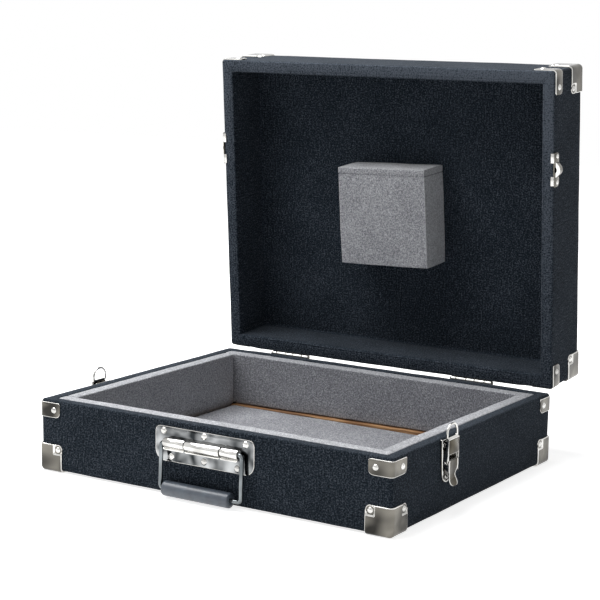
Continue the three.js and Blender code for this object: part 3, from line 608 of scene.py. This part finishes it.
# The tree that sets a domed head on every point it is given, turned to face the point's direction.
heads_tree = bpy.data.node_groups.new("Dome rivet heads", "GeometryNodeTree")
HEAD_INPUTS = {"Places": "Geometry", "Head radius": "Float", "Head height": "Float", "Plating": "Material"}
for name, kind in HEAD_INPUTS.items():
    heads_tree.interface.new_socket(name, in_out="INPUT", socket_type="NodeSocket" + kind)
heads_tree.interface.new_socket("Heads", in_out="OUTPUT", socket_type="NodeSocketGeometry")
tree = heads_tree
given = add(tree, "NodeGroupInput").outputs
radius, height = given["Head radius"], given["Head height"]
cone_feeds = {"Vertices": 20, "Side Segments": 6, "Radius Top": 0, "Radius Bottom": radius, "Depth": height}
cone = add(tree, "GeometryNodeMeshCone", cone_feeds)
spot = add(tree, "ShaderNodeSeparateXYZ", {0: add(tree, "GeometryNodeInputPosition")}).outputs
flat = add(tree, "ShaderNodeCombineXYZ", {"X": spot["X"], "Y": spot["Y"]})
middle = add(tree, "ShaderNodeVectorMath", {0: flat}, operation="LENGTH").outputs["Value"]
share = add(tree, "ShaderNodeMath", {0: middle, 1: radius}, operation="DIVIDE")
squared = add(tree, "ShaderNodeMath", {0: share, 1: 2.0}, operation="POWER")
rest = add(tree, "ShaderNodeMath", {0: 1.0, 1: squared}, operation="SUBTRACT", use_clamp=True)
crown = add(tree, "ShaderNodeMath", {0: rest, 1: 0.5}, operation="POWER")
lifted = add(tree, "ShaderNodeMath", {0: crown, 1: height}, operation="MULTIPLY")
domed = add(tree, "ShaderNodeCombineXYZ", {"X": spot["X"], "Y": spot["Y"], "Z": lifted})
dome = add(tree, "GeometryNodeSetPosition", {"Geometry": cone, "Position": domed})
facing = add(tree, "GeometryNodeInputNamedAttribute", {"Name": "facing"}, data_type="FLOAT_VECTOR")
turned = add(tree, "FunctionNodeAlignRotationToVector", {"Vector": facing}, axis="Z")
copies = {"Points": given["Places"], "Instance": dome, "Rotation": turned}
many = add(tree, "GeometryNodeInstanceOnPoints", copies)
solid_heads = add(tree, "GeometryNodeRealizeInstances", {"Geometry": many})
plated = add(tree, "GeometryNodeSetMaterial", {"Geometry": solid_heads, "Material": given["Plating"]})
add(tree, "NodeGroupOutput", {"Heads": plated})


def rivets(places, radius, height):
    """Dome heads at (point, facing) pairs in millimetres, as one plain solid."""
    points = bpy.data.meshes.new("rivet_places")
    points.from_pydata([point for point, facing in places], [], [])
    directions = points.attributes.new("facing", "FLOAT_VECTOR", "POINT")
    for number, (point, facing) in enumerate(places):
        directions.data[number].vector = facing
    host = new_object("rivet_places", points)
    modifier = host.modifiers.new("heads", "NODES")
    modifier.node_group = heads_tree
    sizes = {"Head radius": radius, "Head height": height, "Plating": darkened_metal}
    for socket in heads_tree.interface.items_tree:
        if socket.name in sizes:
            modifier[socket.identifier] = sizes[socket.name]
    graph = bpy.context.evaluated_depsgraph_get()
    heads = bpy.data.meshes.new_from_object(host.evaluated_get(graph), depsgraph=graph)
    solid = [v.co.copy() for v in heads.vertices], [tuple(face.vertices) for face in heads.polygons]
    bpy.data.objects.remove(host)
    bpy.data.meshes.remove(points)
    bpy.data.meshes.remove(heads)
    return solid


cap_turn = CAP_PROUD - CAP_ROUND
cap_lines = [-CAP_REACH, -CAP_REACH + 0.3, -CAP_REACH + 0.7, -CAP_REACH + CAP_EDGE]
cap_lines += [-CAP_REACH + CAP_EDGE + (cap_turn + CAP_REACH - CAP_EDGE) * i / 30 for i in range(1, 31)]
cap_lines += [cap_turn + CAP_ROUND * math.tan(math.radians(9 * i)) for i in range(1, 6)]


def cap_point(a, b):
    """Where a grid point comes to lie on its flap, how far up the dip's slope, and how proud."""
    from_lug = Vector((a - LUG_AT, b - LUG_AT))
    if from_lug.x < 0 and from_lug.y < 0:
        from_lug *= max(-from_lug.x, -from_lug.y) / from_lug.length
        a, b = LUG_AT + from_lug.x, LUG_AT + from_lug.y
        to_edge = LUG_RADIUS - from_lug.length
        slope = 0
    else:
        span = (abs(from_lug.x) ** DIP_SQUARE + abs(from_lug.y) ** DIP_SQUARE) ** (1 / DIP_SQUARE)
        to_edge = min(a, b) + CAP_REACH
        slope = clamped((span - DIP_REACH) / DIP_SLOPE)
    dip = (CAP_PROUD - LUG_PROUD) * (1 - eased(slope))
    roll = max(CAP_EDGE - to_edge, 0) / CAP_EDGE
    fall = 0.75 * CAP_EDGE * (1 - math.sqrt(max(1 - roll * roll, 0)))
    return a, b, slope, max(CAP_PROUD - dip - fall, 0.4)


def cap_skin(inwards):
    """The cap's outer face, or the same face set inwards, and the faces of the slopes to its lugs."""
    points, faces, ledge, slopes = [], [], [], []
    for axis in range(3):
        u, v = [other for other in range(3) if other != axis]
        quads = grid(len(points), len(cap_lines), len(cap_lines))
        for across in cap_lines:
            for up in cap_lines:
                a, b, slope, height = cap_point(across, up)
                point = Vector()
                point[axis], point[u], point[v] = CAP_PROUD, a, b
                core = Vector([min(value, cap_turn) for value in point])
                out = (point - core).normalized()
                points.append(core + out * (CAP_ROUND - CAP_PROUD + (CAP_IN if inwards else height)))
                slopes.append(slope)
        for quad in quads:
            steps = [slopes[number] for number in quad]
            if min(steps) < 0.9 and max(steps) > 0.1:
                ledge.append(len(faces))
            faces.append(quad[::-1] if inwards else quad)
    return points, faces, ledge


outer_points, outer_faces, ledge = cap_skin(False)
pressing = together((outer_points, outer_faces), cap_skin(True)[:2])
count, side = len(outer_points), len(cap_lines)
skin_faces = len(pressing[1])
for start in range(0, count, side * side):
    for stride in (1, side):
        edge = [start + i * stride for i in range(side)]
        pressing[1].extend((a, b, count + b, count + a) for a, b in zip(edge, edge[1:]))
columns = side - 1
rolled = [n for n in range(len(outer_faces)) if n % columns < 3 or n // columns % columns < 3]
# Rolled edges, ledge slopes and the sheet's cut edge get the paler plating: painted highlights.
cap_edges = [*rolled, *ledge, *range(skin_faces, len(pressing[1]))]
lug_spots = []
for facing in ((1, 0, 0), (0, 1, 0), (0, 0, 1)):
    lug_spots.append(([LUG_PROUD - HEAD_SUNK if way else LUG_AT for way in facing], facing))


def on_corners(kind, node, solid, heads, edges, base_at, lid_at, sharp=35):
    """One pressing on each corner of both boxes, drawn in directions that all point out of the box."""
    for name, (way_x, way_y) in CORNERS.items():
        for body, place, (height, up) in (("base", CASE, base_at), ("lid", LID, lid_at)):
            spot = place @ Matrix.Translation((way_x * WIDTH / 2, way_y * DEPTH / 2, height))
            spot = spot @ Matrix.Diagonal((way_x, way_y, up, 1))
            node_name = f"{body}_{node}_{name}"
            piece(f"{kind}_{body}_{name}", solid, spot, darkened_metal, body, node_name, sharp, heads, edges)


cap_heads = rivets(lug_spots, *CAP_HEAD)
on_corners("cap", "corner_cap", pressing, cap_heads, cap_edges, (BASE_Z, -1), (CLOSED_Z, 1), 50)

# Rim braces. A strip of the same plated steel bent round each upright edge just below the rim, its
# low outer corners rounded, and riveted once through each leg.
BRACE_LEG, BRACE_LOW, BRACE_HIGH = 32.0, 73.0, 93.0
BRACE_PROUD, BRACE_UNDER = 1.5, 0.2
BRACE_LOW_ROUND, BRACE_HIGH_ROUND = 7.0, 3.0
BRACE_RIVET_AT, BRACE_HEAD = 22.0, (4.1, 2.1)


def brace_ring(to_end, corner, way):
    """A section across the strip, shorter where its end is rounded."""
    lower = max(BRACE_LOW_ROUND - to_end, 0)
    upper = max(BRACE_HIGH_ROUND - to_end, 0)
    low = BRACE_LOW + BRACE_LOW_ROUND - math.sqrt(BRACE_LOW_ROUND ** 2 - lower ** 2)
    high = BRACE_HIGH - BRACE_HIGH_ROUND + math.sqrt(BRACE_HIGH_ROUND ** 2 - upper ** 2)
    top = BRACE_PROUD - 0.45 * max(1 - to_end / 0.5, 0)
    edge = [(BRACE_UNDER, 0), (top - 0.5, 0), (top - 0.15, 0.2), (top, 0.8)]
    section = [(out, low + up) for out, up in edge] + [(top, (low + high) / 2)]
    section += [(out, high - down) for out, down in reversed(edge)]
    return [(corner.x + way.x * out, corner.y + way.y * out, height) for out, height in section]


ends = [0.0, 0.2, 0.5, 1.2, 2.2, 3.4, 4.8, 6.2, 7.6, 14, 21, BRACE_LEG - EDGE_ROUND]
brace_rings = [brace_ring(to_end, Vector((to_end - BRACE_LEG, 0)), Vector((0, 1))) for to_end in ends]
for out_x, out_y in arc((0, 0), 1, 80, 10, 7):
    way = Vector((out_x, out_y))
    brace_rings.append(brace_ring(BRACE_LEG, EDGE_ROUND * (way - Vector((1, 1))), way))
for to_end in reversed(ends):
    brace_rings.append(brace_ring(to_end, Vector((0, to_end - BRACE_LEG)), Vector((1, 0))))
brace = loft(brace_rings)
sides = len(brace_rings[0])
# The strip's eased top and bottom edges get the paler plating: painted highlights.
brace_edges = [n for n in range(len(brace[1]) - 2) if n % sides in (0, 1, 2, 5, 6, 7)]
brace_middle, head_at = (BRACE_LOW + BRACE_HIGH) / 2, BRACE_PROUD - HEAD_SUNK
brace_spots = [
    ((-BRACE_RIVET_AT, head_at, brace_middle), (0, 1, 0)),
    ((head_at, -BRACE_RIVET_AT, brace_middle), (1, 0, 0))]
brace_heads = rivets(brace_spots, *BRACE_HEAD)
on_corners("brace", "rim_brace", brace, brace_heads, brace_edges, (0, 1), (RIM_Z + LID_Z, -1))

# Drop handle. A plate with three rolled barrels, riveted through the front wall, holds the turned-in
# ends of a wire bail, and a smooth vinyl tube on the bail's foot makes the grip.
HANDLE_X = -1.0
PLATE_HALF, PLATE_LOW, PLATE_HIGH, PLATE_THICK = 75.0, 44.0, 89.0, 1.5
AXIS_PROUD, AXIS_Z = 7.8, 70.0
BARRELS = [(-56.0, -24.5, 6.2, 0.0), (-23.0, 29.0, 6.7, 0.5), (30.5, 56.0, 6.2, 0.0)]
BARREL_BORE, BARREL_BACK, BARREL_LIP, BARREL_CHAMFER = 3.4, -6.2, -8.7, 1.6
HANDLE_RIVETS = [(-62, 82.5), (0, 83.5), (62, 82.5), (-50, 50.5), (0, 51.5), (50, 50.5)]
HANDLE_HEAD = (4.5, 2.2)
WIRE = 2.75
BAIL_HALF, BAIL_DROP, BAIL_BEND, BAIL_END = 61.0, 58.3, 5.0, 33.0
GRIP_LEFT, GRIP_RIGHT, GRIP_RADIUS, GRIP_OFF_CARPET = -54.0, 46.5, 9.7, 0.4
PEEL_PER_M, SCUFFS_PER_M = 900, 70
AXIS_Y = -DEPTH / 2 - AXIS_PROUD


def rounded(x0, y0, x1, y1, radii, steps=6):
    """A rectangle with one radius to each corner, anticlockwise from the low left."""
    corners = [(x0, y0, 1, 1, 180), (x1, y0, -1, 1, 270), (x1, y1, -1, -1, 0), (x0, y1, 1, -1, 90)]
    outline = []
    for (x, y, way_x, way_y, start), radius in zip(corners, radii):
        radius = max(radius, 0.05)
        outline += arc((x + way_x * radius, y + way_y * radius), radius, start, start + 90, steps)
    return outline


def shrunk(outline, distance):
    """An anticlockwise outline moved inwards by a distance."""
    moved = []
    for i, here in enumerate(outline):
        before, after = outline[i - 1], outline[(i + 1) % len(outline)]
        first = Vector((here[0] - before[0], here[1] - before[1])).normalized()
        second = Vector((after[0] - here[0], after[1] - here[1])).normalized()
        normals = Vector((-first.y - second.y, first.x + second.x))
        reach = distance / max(1 + first.dot(second), 0.3)
        moved.append((here[0] + normals.x * reach, here[1] + normals.y * reach))
    return moved


def slab(axis, low, high, outline, edge=0.35, hole=None):
    """A sheet or block with eased edges: an outline on the plane of the other two axes, in order."""
    steps = [(low, edge), (low + 0.3 * edge, 0.3 * edge), (low + edge, 0)]
    steps += [(high - edge, 0), (high - 0.3 * edge, 0.3 * edge), (high, edge)]
    flats = [(depth, shrunk(outline, inset)) for depth, inset in steps]
    if hole:
        flats += [(depth, shrunk(hole, -inset)) for depth, inset in reversed(steps)]
    order = {"x": (2, 0, 1), "y": (0, 2, 1)}[axis]
    rings = [[tuple((u, v, depth)[i] for i in order) for u, v in flat] for depth, flat in flats]
    return loft(rings, closed=bool(hole))


def circle(steps):
    """The cosine and sine of even steps all the way round."""
    turns = [2 * math.pi * k / steps for k in range(steps)]
    return [(math.cos(t), math.sin(t)) for t in turns]


def tube(path, radius, sides=20):
    """A round rod or wire along a path of points, both ends eased."""
    path = [Vector(point) for point in path]
    first_end = [(-0.24, 0.6), (-0.12, 0.9), (0, 1)]
    last_end = [(-shift, width) for shift, width in reversed(first_end)]
    steps_at = {0: first_end, len(path) - 1: last_end}
    side = (path[1] - path[0]).orthogonal()
    rings = []
    for i, point in enumerate(path):
        ahead = (path[min(i + 1, len(path) - 1)] - path[max(i - 1, 0)]).normalized()
        side = (side - ahead * side.dot(ahead)).normalized()
        other = ahead.cross(side)
        for shift, width in steps_at.get(i, [(0, 1)]):
            middle = point + ahead * (radius * shift)
            rings.append([middle + radius * width * (c * side + s * other) for c, s in circle(sides)])
    return loft(rings)


def barrel(left, right, radius, drop):
    """One knuckle of the plate: rolled sheet with a lip below, chamfered ends and a dark bore."""
    profile = [(BARREL_BACK, 5.0)] + arc((0, -drop), radius, 105, -75, 20)
    profile += [(3.6, -7.4), (3.6, BARREL_LIP), (BARREL_BACK, BARREL_LIP)]
    bore = [Vector(point).normalized() * BARREL_BORE for point in profile]
    slim = [(out * 0.86 if out > 0 else out, up * 0.9) for out, up in profile]
    stations = [(left + 9, bore), (left, bore), (left, slim), (left + BARREL_CHAMFER, profile)]
    stations += [(right - BARREL_CHAMFER, profile), (right, slim), (right, bore), (right - 9, bore)]
    return loft([[(x, AXIS_Y - out, AXIS_Z + up) for out, up in section] for x, section in stations])


plate_face = -DEPTH / 2 - GLUE
outline = rounded(-PLATE_HALF, PLATE_LOW, PLATE_HALF, PLATE_HIGH, (14, 14, 8, 8), 10)
plate = slab("y", plate_face - PLATE_THICK, plate_face, outline, 0.8)
heads = [((x, plate_face - PLATE_THICK + HEAD_SUNK, z), (0, -1, 0)) for x, z in HANDLE_RIVETS]
rolled = together(rivets(heads, *HANDLE_HEAD), *[barrel(*sizes) for sizes in BARRELS])
# The plate's eased edges, its rivets and barrels get the paler plating: painted highlights.
edges = range(len(plate[1]) - 2)
handle_place = CASE @ Matrix.Translation((HANDLE_X, 0, 0))
piece("handle_rolled_plate", plate, handle_place, reflection_painted_metal, "base", "handle_plate", 35, rolled, edges)

lean = math.asin((GRIP_RADIUS + GRIP_OFF_CARPET - AXIS_PROUD) / BAIL_DROP)
bail_place = CASE @ Matrix.Translation((HANDLE_X, AXIS_Y, AXIS_Z)) @ Matrix.Rotation(-lean, 4, "X")
bend_x = BAIL_BEND - BAIL_HALF
line = [(-BAIL_END, 0)] + arc((bend_x, -BAIL_BEND), BAIL_BEND, 90, 180, 8)
line += arc((bend_x, BAIL_BEND - BAIL_DROP), BAIL_BEND, 180, 270, 8)
line += [(-x, z) for x, z in reversed(line)]
bail = tube([(x, 0, z) for x, z in line], WIRE)
piece("handle_wire_bail", bail, bail_place, drawn, "handle", "handle_bail")

# Satin dark grey vinyl with a faint orange-peel skin and soft paler scuffs.
vinyl, tree, shader = surface(
    "Grey vinyl tube, extruded", Roughness=0.32, Coat_Weight=0.25, Coat_Roughness=0.35)
place = add(tree, "ShaderNodeTexCoord").outputs["Object"]
peel = add(tree, "ShaderNodeTexNoise", {"Vector": place, "Scale": PEEL_PER_M, "Detail": 2})
scuff_feeds = {"Vector": place, "Scale": SCUFFS_PER_M, "Detail": 4, "Roughness": 0.6}
scuffs = add(tree, "ShaderNodeTexNoise", scuff_feeds)
dress(tree, shader, scuffs, [(0.35, "#4b525c"), (0.70, "#5d6671")], peel, 0.00006, 0.5)
end_rounds = [(6.4, WIRE + 0.3), (0.4, WIRE + 0.3), (0, WIRE + 1.2), (0, GRIP_RADIUS - 1.6)]
end_rounds += [(0.3, GRIP_RADIUS - 0.7), (1.0, GRIP_RADIUS - 0.15), (2.2, GRIP_RADIUS)]
stations = [(GRIP_LEFT + depth, radius) for depth, radius in end_rounds]
stations += [(GRIP_RIGHT - depth, radius) for depth, radius in reversed(end_rounds)]
sleeve = loft([[(x, radius * c, radius * s - BAIL_DROP) for c, s in circle(48)] for x, radius in stations])
piece("handle_vinyl_grip", sleeve, bail_place, vinyl, "handle", "handle_grip", 50)

# Butt hinges. Two on the rear rims: pressed leaves with knuckles rolled in turn round a steel pin,
# each leaf held to its box by three rivets.
HINGE_X = {"left": -157.0, "right": 144.0}
HINGE_HALF, LEAF_NEAR, LEAF_FAR, LEAF_THICK = 31.5, 1.2, 25.2, 1.5
KNUCKLE, PIN, PIN_HEAD, PIN_OUT = 3.1, 1.5, 2.4, 0.6
KNUCKLE_ENDS = [-31.5, -23.3, -7.6, 5.2, 20.6, 31.5]
LEAF_RIVETS = [(-21, 11), (0, 18.5), (21, 11)]
LEAF_HEAD = (3.0, 1.2)


def axis_bar(start, end, radius, sides=16):
    """A round bar on the hinge's axis."""
    return tube([(start, PIVOT_Y, PIVOT_Z), (end, PIVOT_Y, PIVOT_Z)], radius, sides)


def hinge_leaf(side):
    """A leaf above (1) or below (-1) the axis, and its knuckles and rivets."""
    face = DEPTH / 2 + GLUE
    low, high = sorted((PIVOT_Z + side * LEAF_NEAR, PIVOT_Z + side * LEAF_FAR))
    rounds = (3, 3, 0, 0) if side < 0 else (0, 0, 3, 3)
    leaf = slab("y", face, face + LEAF_THICK, rounded(-HINGE_HALF, low, HINGE_HALF, high, rounds), 0.3)
    first = 1 if side > 0 else 0
    spans = zip(KNUCKLE_ENDS[first::2], KNUCKLE_ENDS[first + 1::2])
    knuckles = [axis_bar(start + 1, end - 1, KNUCKLE, 24) for start, end in spans]
    heads = [((x, face + LEAF_THICK - HEAD_SUNK, PIVOT_Z + side * z), (0, 1, 0)) for x, z in LEAF_RIVETS]
    return leaf, together(*knuckles, rivets(heads, *LEAF_HEAD))


hinge_leaves = {"base": (hinge_leaf(-1), CASE), "lid": (hinge_leaf(1), LID)}
pin_end = HINGE_HALF + PIN_OUT
hinge_pin = together(
    axis_bar(-pin_end, pin_end, PIN),
    axis_bar(-pin_end - 0.5, -pin_end + 0.1, PIN_HEAD),
    axis_bar(pin_end - 0.1, pin_end + 0.5, PIN_HEAD))
for side, x in HINGE_X.items():
    along = Matrix.Translation((x, 0, 0))
    for body, ((leaf, knuckles), place) in hinge_leaves.items():
        name, node = f"hinge_{side}_pressed_{body}_leaf", f"hinge_{side}_{body}_leaf"
        # Knuckles and rivets get the paler plating: painted highlights.
        piece(name, leaf, place @ along, darkened_metal, body, node, highlighted=knuckles)
    piece(f"hinge_{side}_steel_pin", hinge_pin, CASE @ along, darkened_metal, "base", f"hinge_{side}_pin")

# Draw latches. One on each end: a riveted base plate with a rolled top and two ears, a spoon-ended
# lever on a pin through the ears, and on the lever a sprung loop that hooks over the lid's keeper.
LATCH_Y = -85.0
LATCH_LOW, LATCH_HIGH, LATCH_HALF, LATCH_THICK = 40.0, 94.0, 13.5, 1.5
LATCH_TAPER, LATCH_BEAD, LATCH_ROLL = 0.15, 1.05, 2.0
LATCH_RIVETS, LATCH_HEAD = [(-9, 87.5), (9, 87.5), (0, 47)], (3.3, 2.4)
EAR, FLANGE, STRAP_SIDE = (9.3, 10.5), (10.8, 12.0), (12.3, 13.5)
LEVER_AXIS, LINK_AXIS = (6.5, 79.0), (6.3, 67.0)
LATCH_PIN, EYE = 1.5, 3.3
STRAP_IN, STRAP_OUT, STRAP_LOW, STRAP_HIGH = 10.3, 11.5, 77.0, 95.5
WINDOW_IN, WINDOW_OUT, WINDOW_HALF, WINDOW_LOW, WINDOW_TOP = 7.3, 9.5, 14.0, 96.8, 115.3
WINDOW_BAR, WINDOW_SILL = 2.9, 98.6
TONGUE_IN, TONGUE_OUT, TONGUE_CUP, TONGUE_EASED = 10.6, 11.8, 0.5, 0.35
# Heights down the tongue, and its half width there.
TONGUE = [(69.5, 11.4), (66.0, 12.0), (61.0, 12.0), (58.0, 11.3), (55.5, 9.9), (53.5, 8.7), (51.5, 7.9)]
TONGUE += [(49.8, 7.6), (48.2, 7.9), (46.5, 8.6), (44.5, 9.3), (42.5, 9.6), (41.0, 9.3), (39.6, 8.4)]
TONGUE += [(38.5, 6.9), (37.8, 5.0), (37.5, 3.4)]
TONGUE_SHOULDER, TONGUE_WAIST, TONGUE_KICK, TONGUE_LEAN = 61.0, 49.8, 4.4, 1.6


def cheeks(span, outline, edge=0.3):
    """The same cheek of (out, height) points on each side of the latch's middle."""
    inner, outer = span
    return [slab("y", inner, outer, outline, edge), slab("y", -outer, -inner, outline, edge)]


def cross_bar(out, height, reach, radius):
    """A round bar across the latch."""
    return tube([(out, -reach, height), (out, reach, height)], radius, 16)


def rim_bead(outline, out, radius):
    """A rolled edge that follows an outline on the plate's face."""
    rings = []
    for i, (y, z) in enumerate(outline):
        before, after = outline[i - 1], outline[(i + 1) % len(outline)]
        along = Vector((after[0] - before[0], after[1] - before[1])).normalized() * radius
        rings.append([(out + radius * s, y - along.y * c, z + along.x * c) for c, s in circle(8)])
    return loft(rings, closed=True)


def tongue_ring(height, half):
    """A section across the lever's tongue, cupped a little and kicked outwards below its waist."""
    below = max(TONGUE_WAIST - height, 0) / (TONGUE_WAIST - TONGUE[-1][0])
    above = eased((TONGUE_SHOULDER - height) / (TONGUE_SHOULDER - TONGUE_WAIST))
    kick = TONGUE_KICK * below ** 1.6 - TONGUE_LEAN * above
    shares = (-1, -0.97, -0.8, -0.4, 0, 0.4, 0.8, 0.97, 1)
    ring = []
    for face, trim, way in ((TONGUE_OUT, -TONGUE_EASED, 1), (TONGUE_IN, TONGUE_EASED, -1)):
        for share in shares[::way]:
            out = face + kick - TONGUE_CUP * (1 - share * share) + (trim if abs(share) == 1 else 0)
            ring.append((out, share * half, height))
    return ring


face_out = GLUE + LATCH_THICK
latch_outline = rounded(-LATCH_HALF, LATCH_LOW, LATCH_HALF, LATCH_HIGH, (12.5, 12.5, 3, 3), 8)
latch_outline = [(y * (1 - LATCH_TAPER * (z < LEVER_AXIS[1])), z) for y, z in latch_outline]
ear_outline = [(0.8, LEVER_AXIS[1] + EYE), (0.8, LEVER_AXIS[1] - EYE - 1)]
ear_outline += arc(LEVER_AXIS, EYE, -90, 90, 10)
latch_base = together(slab("x", GLUE, face_out, latch_outline, 0.4), *cheeks(EAR, ear_outline))
# The bead, the rolled top and the rivets get the paler plating: painted highlights.
latch_edges = together(
    rim_bead(shrunk(latch_outline, 1.1), face_out + 0.2, LATCH_BEAD),
    cross_bar(face_out, LATCH_HIGH - 0.8, LATCH_HALF + 1, LATCH_ROLL),
    rivets([((face_out - HEAD_SUNK, y, z), (1, 0, 0)) for y, z in LATCH_RIVETS], *LATCH_HEAD))
latch_pin = cross_bar(*LEVER_AXIS, FLANGE[1] + 0.1, LATCH_PIN)

tongue = loft([tongue_ring(height, half) for height, half in TONGUE])
sides = len(tongue_ring(*TONGUE[0]))
# The tongue's eased edges get the paler plating: painted highlights.
tongue_edges = [n for n in range(len(tongue[1]) - 2) if n % sides in (0, 1, 6, 7, 8, 9, 16, 17)]
lever_side = [(11.6, 55), (11.6, 63), (LEVER_AXIS[0] + EYE, 69)] + arc(LEVER_AXIS, EYE, 0, 180, 10)
lever_side += [(LEVER_AXIS[0] - EYE, 66), (LEVER_AXIS[0], 58)]
link_pin = cross_bar(*LINK_AXIS, STRAP_SIDE[1] + 0.4, LATCH_PIN)
# The lever's cheeks and link pin get the paler plating: painted highlights.
lever_cheeks = together(*cheeks(FLANGE, lever_side), link_pin)

window = rounded(-WINDOW_HALF, WINDOW_LOW, WINDOW_HALF, WINDOW_TOP, (2, 2, 13.2, 13.2), 12)
opening = WINDOW_HALF - WINDOW_BAR
window_hole = rounded(-opening, WINDOW_SILL, opening, WINDOW_TOP - WINDOW_BAR, (1, 1, 10, 10), 12)
strap_side = [(11.4, 70.5), (11.4, STRAP_HIGH), (8.6, STRAP_HIGH), (7.4, 73)]
strap_side += arc(LINK_AXIS, 3, 135, 342, 14)
step_outline = [(10.3, 95), (11.5, 95), (11.5, 96.2), (9.5, 98), (7.3, 98), (7.3, 96.8), (10.3, 95.4)]
strap_half = STRAP_SIDE[1]
strap_outline = rounded(-strap_half, STRAP_LOW, strap_half, STRAP_HIGH, (2.5, 2.5, 0, 0))
latch_strap = slab("x", STRAP_IN, STRAP_OUT, strap_outline, 0.5)
# The strap's eased edges get the paler plating: painted highlights.
strap_edges = range(len(latch_strap[1]) - 2)
# The loop's step, window and cheeks get the paler plating: painted highlights.
latch_loop = together(
    slab("y", -strap_half, strap_half, step_outline, 0.25),
    slab("x", WINDOW_IN, WINDOW_OUT, window, 0.7, window_hole),
    *cheeks(STRAP_SIDE, strap_side))

# Keepers. A plate on each end of the lid, its two feet turned in under the rim, with a pressed nose
# that the latch's loop pulls on.
KEEPER_HALF, KEEPER_HIGH, KEEPER_THICK = 23.0, 112.0, 1.3
KEEPER_LUG, KEEPER_UNDER, KEEPER_FOOT = 13.0, -3.6, 0.9
KEEPER_RIVET_Y, KEEPER_RIVET_Z, KEEPER_HEAD = 17.35, 106.5, (3.1, 1.5)
NOSE_HALF, NOSE_LOW, NOSE_TOP, NOSE_PROUD = 10.5, 99.2, 111.0, 8.6
NOSE_ROOT, NOSE_WALL, NOSE_CHEEK, NOSE_DEEP = 0.9, 4.6, 5.6, 6.0
keeper_out, keeper_low = GLUE + KEEPER_THICK, LID_Z - GLUE - KEEPER_FOOT


def nose_ring(height, narrow, proud):
    """A section across the arched nose, at one height above the rim."""
    half = NOSE_HALF - narrow
    arch = [half * (i / 12 - 1) for i in range(25)]
    swell = [max(math.cos(math.pi * y / (2 * half)), 0) ** 0.6 for y in arch]
    ring = [(NOSE_ROOT + (proud - NOSE_ROOT) * rise, y, height) for y, rise in zip(arch, swell)]
    return ring + [(0.5, half, height), (0.5, -half, height)]


inner_proud = NOSE_PROUD - NOSE_WALL
nose = [(NOSE_TOP, 4, 2.2), (NOSE_TOP - 0.6, 2.5, 5.2), (NOSE_TOP - 2, 1, 8.0)]
nose += [(NOSE_TOP - 4, 0, NOSE_PROUD - 0.3), (NOSE_LOW + 0.9, 0, NOSE_PROUD - 0.1)]
nose += [(NOSE_LOW + 0.9, NOSE_CHEEK - 0.1, inner_proud + 0.1)]
nose += [(NOSE_LOW + NOSE_DEEP, NOSE_CHEEK, inner_proud)]
mouth = [(NOSE_LOW + 1, 0, NOSE_PROUD), (NOSE_LOW + 0.3, 0, NOSE_PROUD), (NOSE_LOW, 0.4, NOSE_PROUD - 0.3)]
mouth += [(NOSE_LOW, NOSE_CHEEK, inner_proud), (NOSE_LOW + 1, NOSE_CHEEK, inner_proud)]
foot_high, foot_out = LID_Z - GLUE, keeper_out - 0.2
foot = [(KEEPER_UNDER, keeper_low), (foot_out, keeper_low)]
foot += [(foot_out, foot_high), (KEEPER_UNDER, foot_high)]
feet = cheeks((KEEPER_HALF - 1 - KEEPER_LUG, KEEPER_HALF - 1), foot, 0.25)
keeper_outline = rounded(-KEEPER_HALF, keeper_low, KEEPER_HALF, KEEPER_HIGH, (1, 1, 6.5, 6.5))
keeper = together(slab("x", GLUE, keeper_out, keeper_outline), loft([nose_ring(*step) for step in nose]))
heads = [((keeper_out - HEAD_SUNK, way * KEEPER_RIVET_Y, KEEPER_RIVET_Z), (1, 0, 0)) for way in (-1, 1)]
mouth_lip = loft([nose_ring(*step) for step in mouth], closed=True)
# The nose's lip, the feet and the rivets get the paler plating: painted highlights.
keeper_edges = together(mouth_lip, *feet, rivets(heads, *KEEPER_HEAD))

for side, way in (("right", 1), ("left", -1)):
    end_place = Matrix.Translation((way * WIDTH / 2, LATCH_Y, 0)) @ Matrix.Diagonal((way, 1, 1, 1))
    parts = {"base": (latch_base, "base", latch_edges, ()), "pin": (latch_pin, "base", ((), ()), ())}
    parts["lever"] = (tongue, f"latch_{side}_lever", lever_cheeks, tongue_edges)
    parts["loop"] = (latch_strap, f"latch_{side}_loop", latch_loop, strap_edges)
    for name, (solid, body, highlighted, edges) in parts.items():
        node = f"latch_{side}_{name}"
        piece(f"draw_{node}", solid, CASE @ end_place, shaded_latch_metal, body, node, 35, highlighted, edges)
    spot = LID @ end_place
    piece(f"latch_keeper_{side}", keeper, spot, darkened_metal, "lid", f"keeper_{side}", highlighted=keeper_edges)
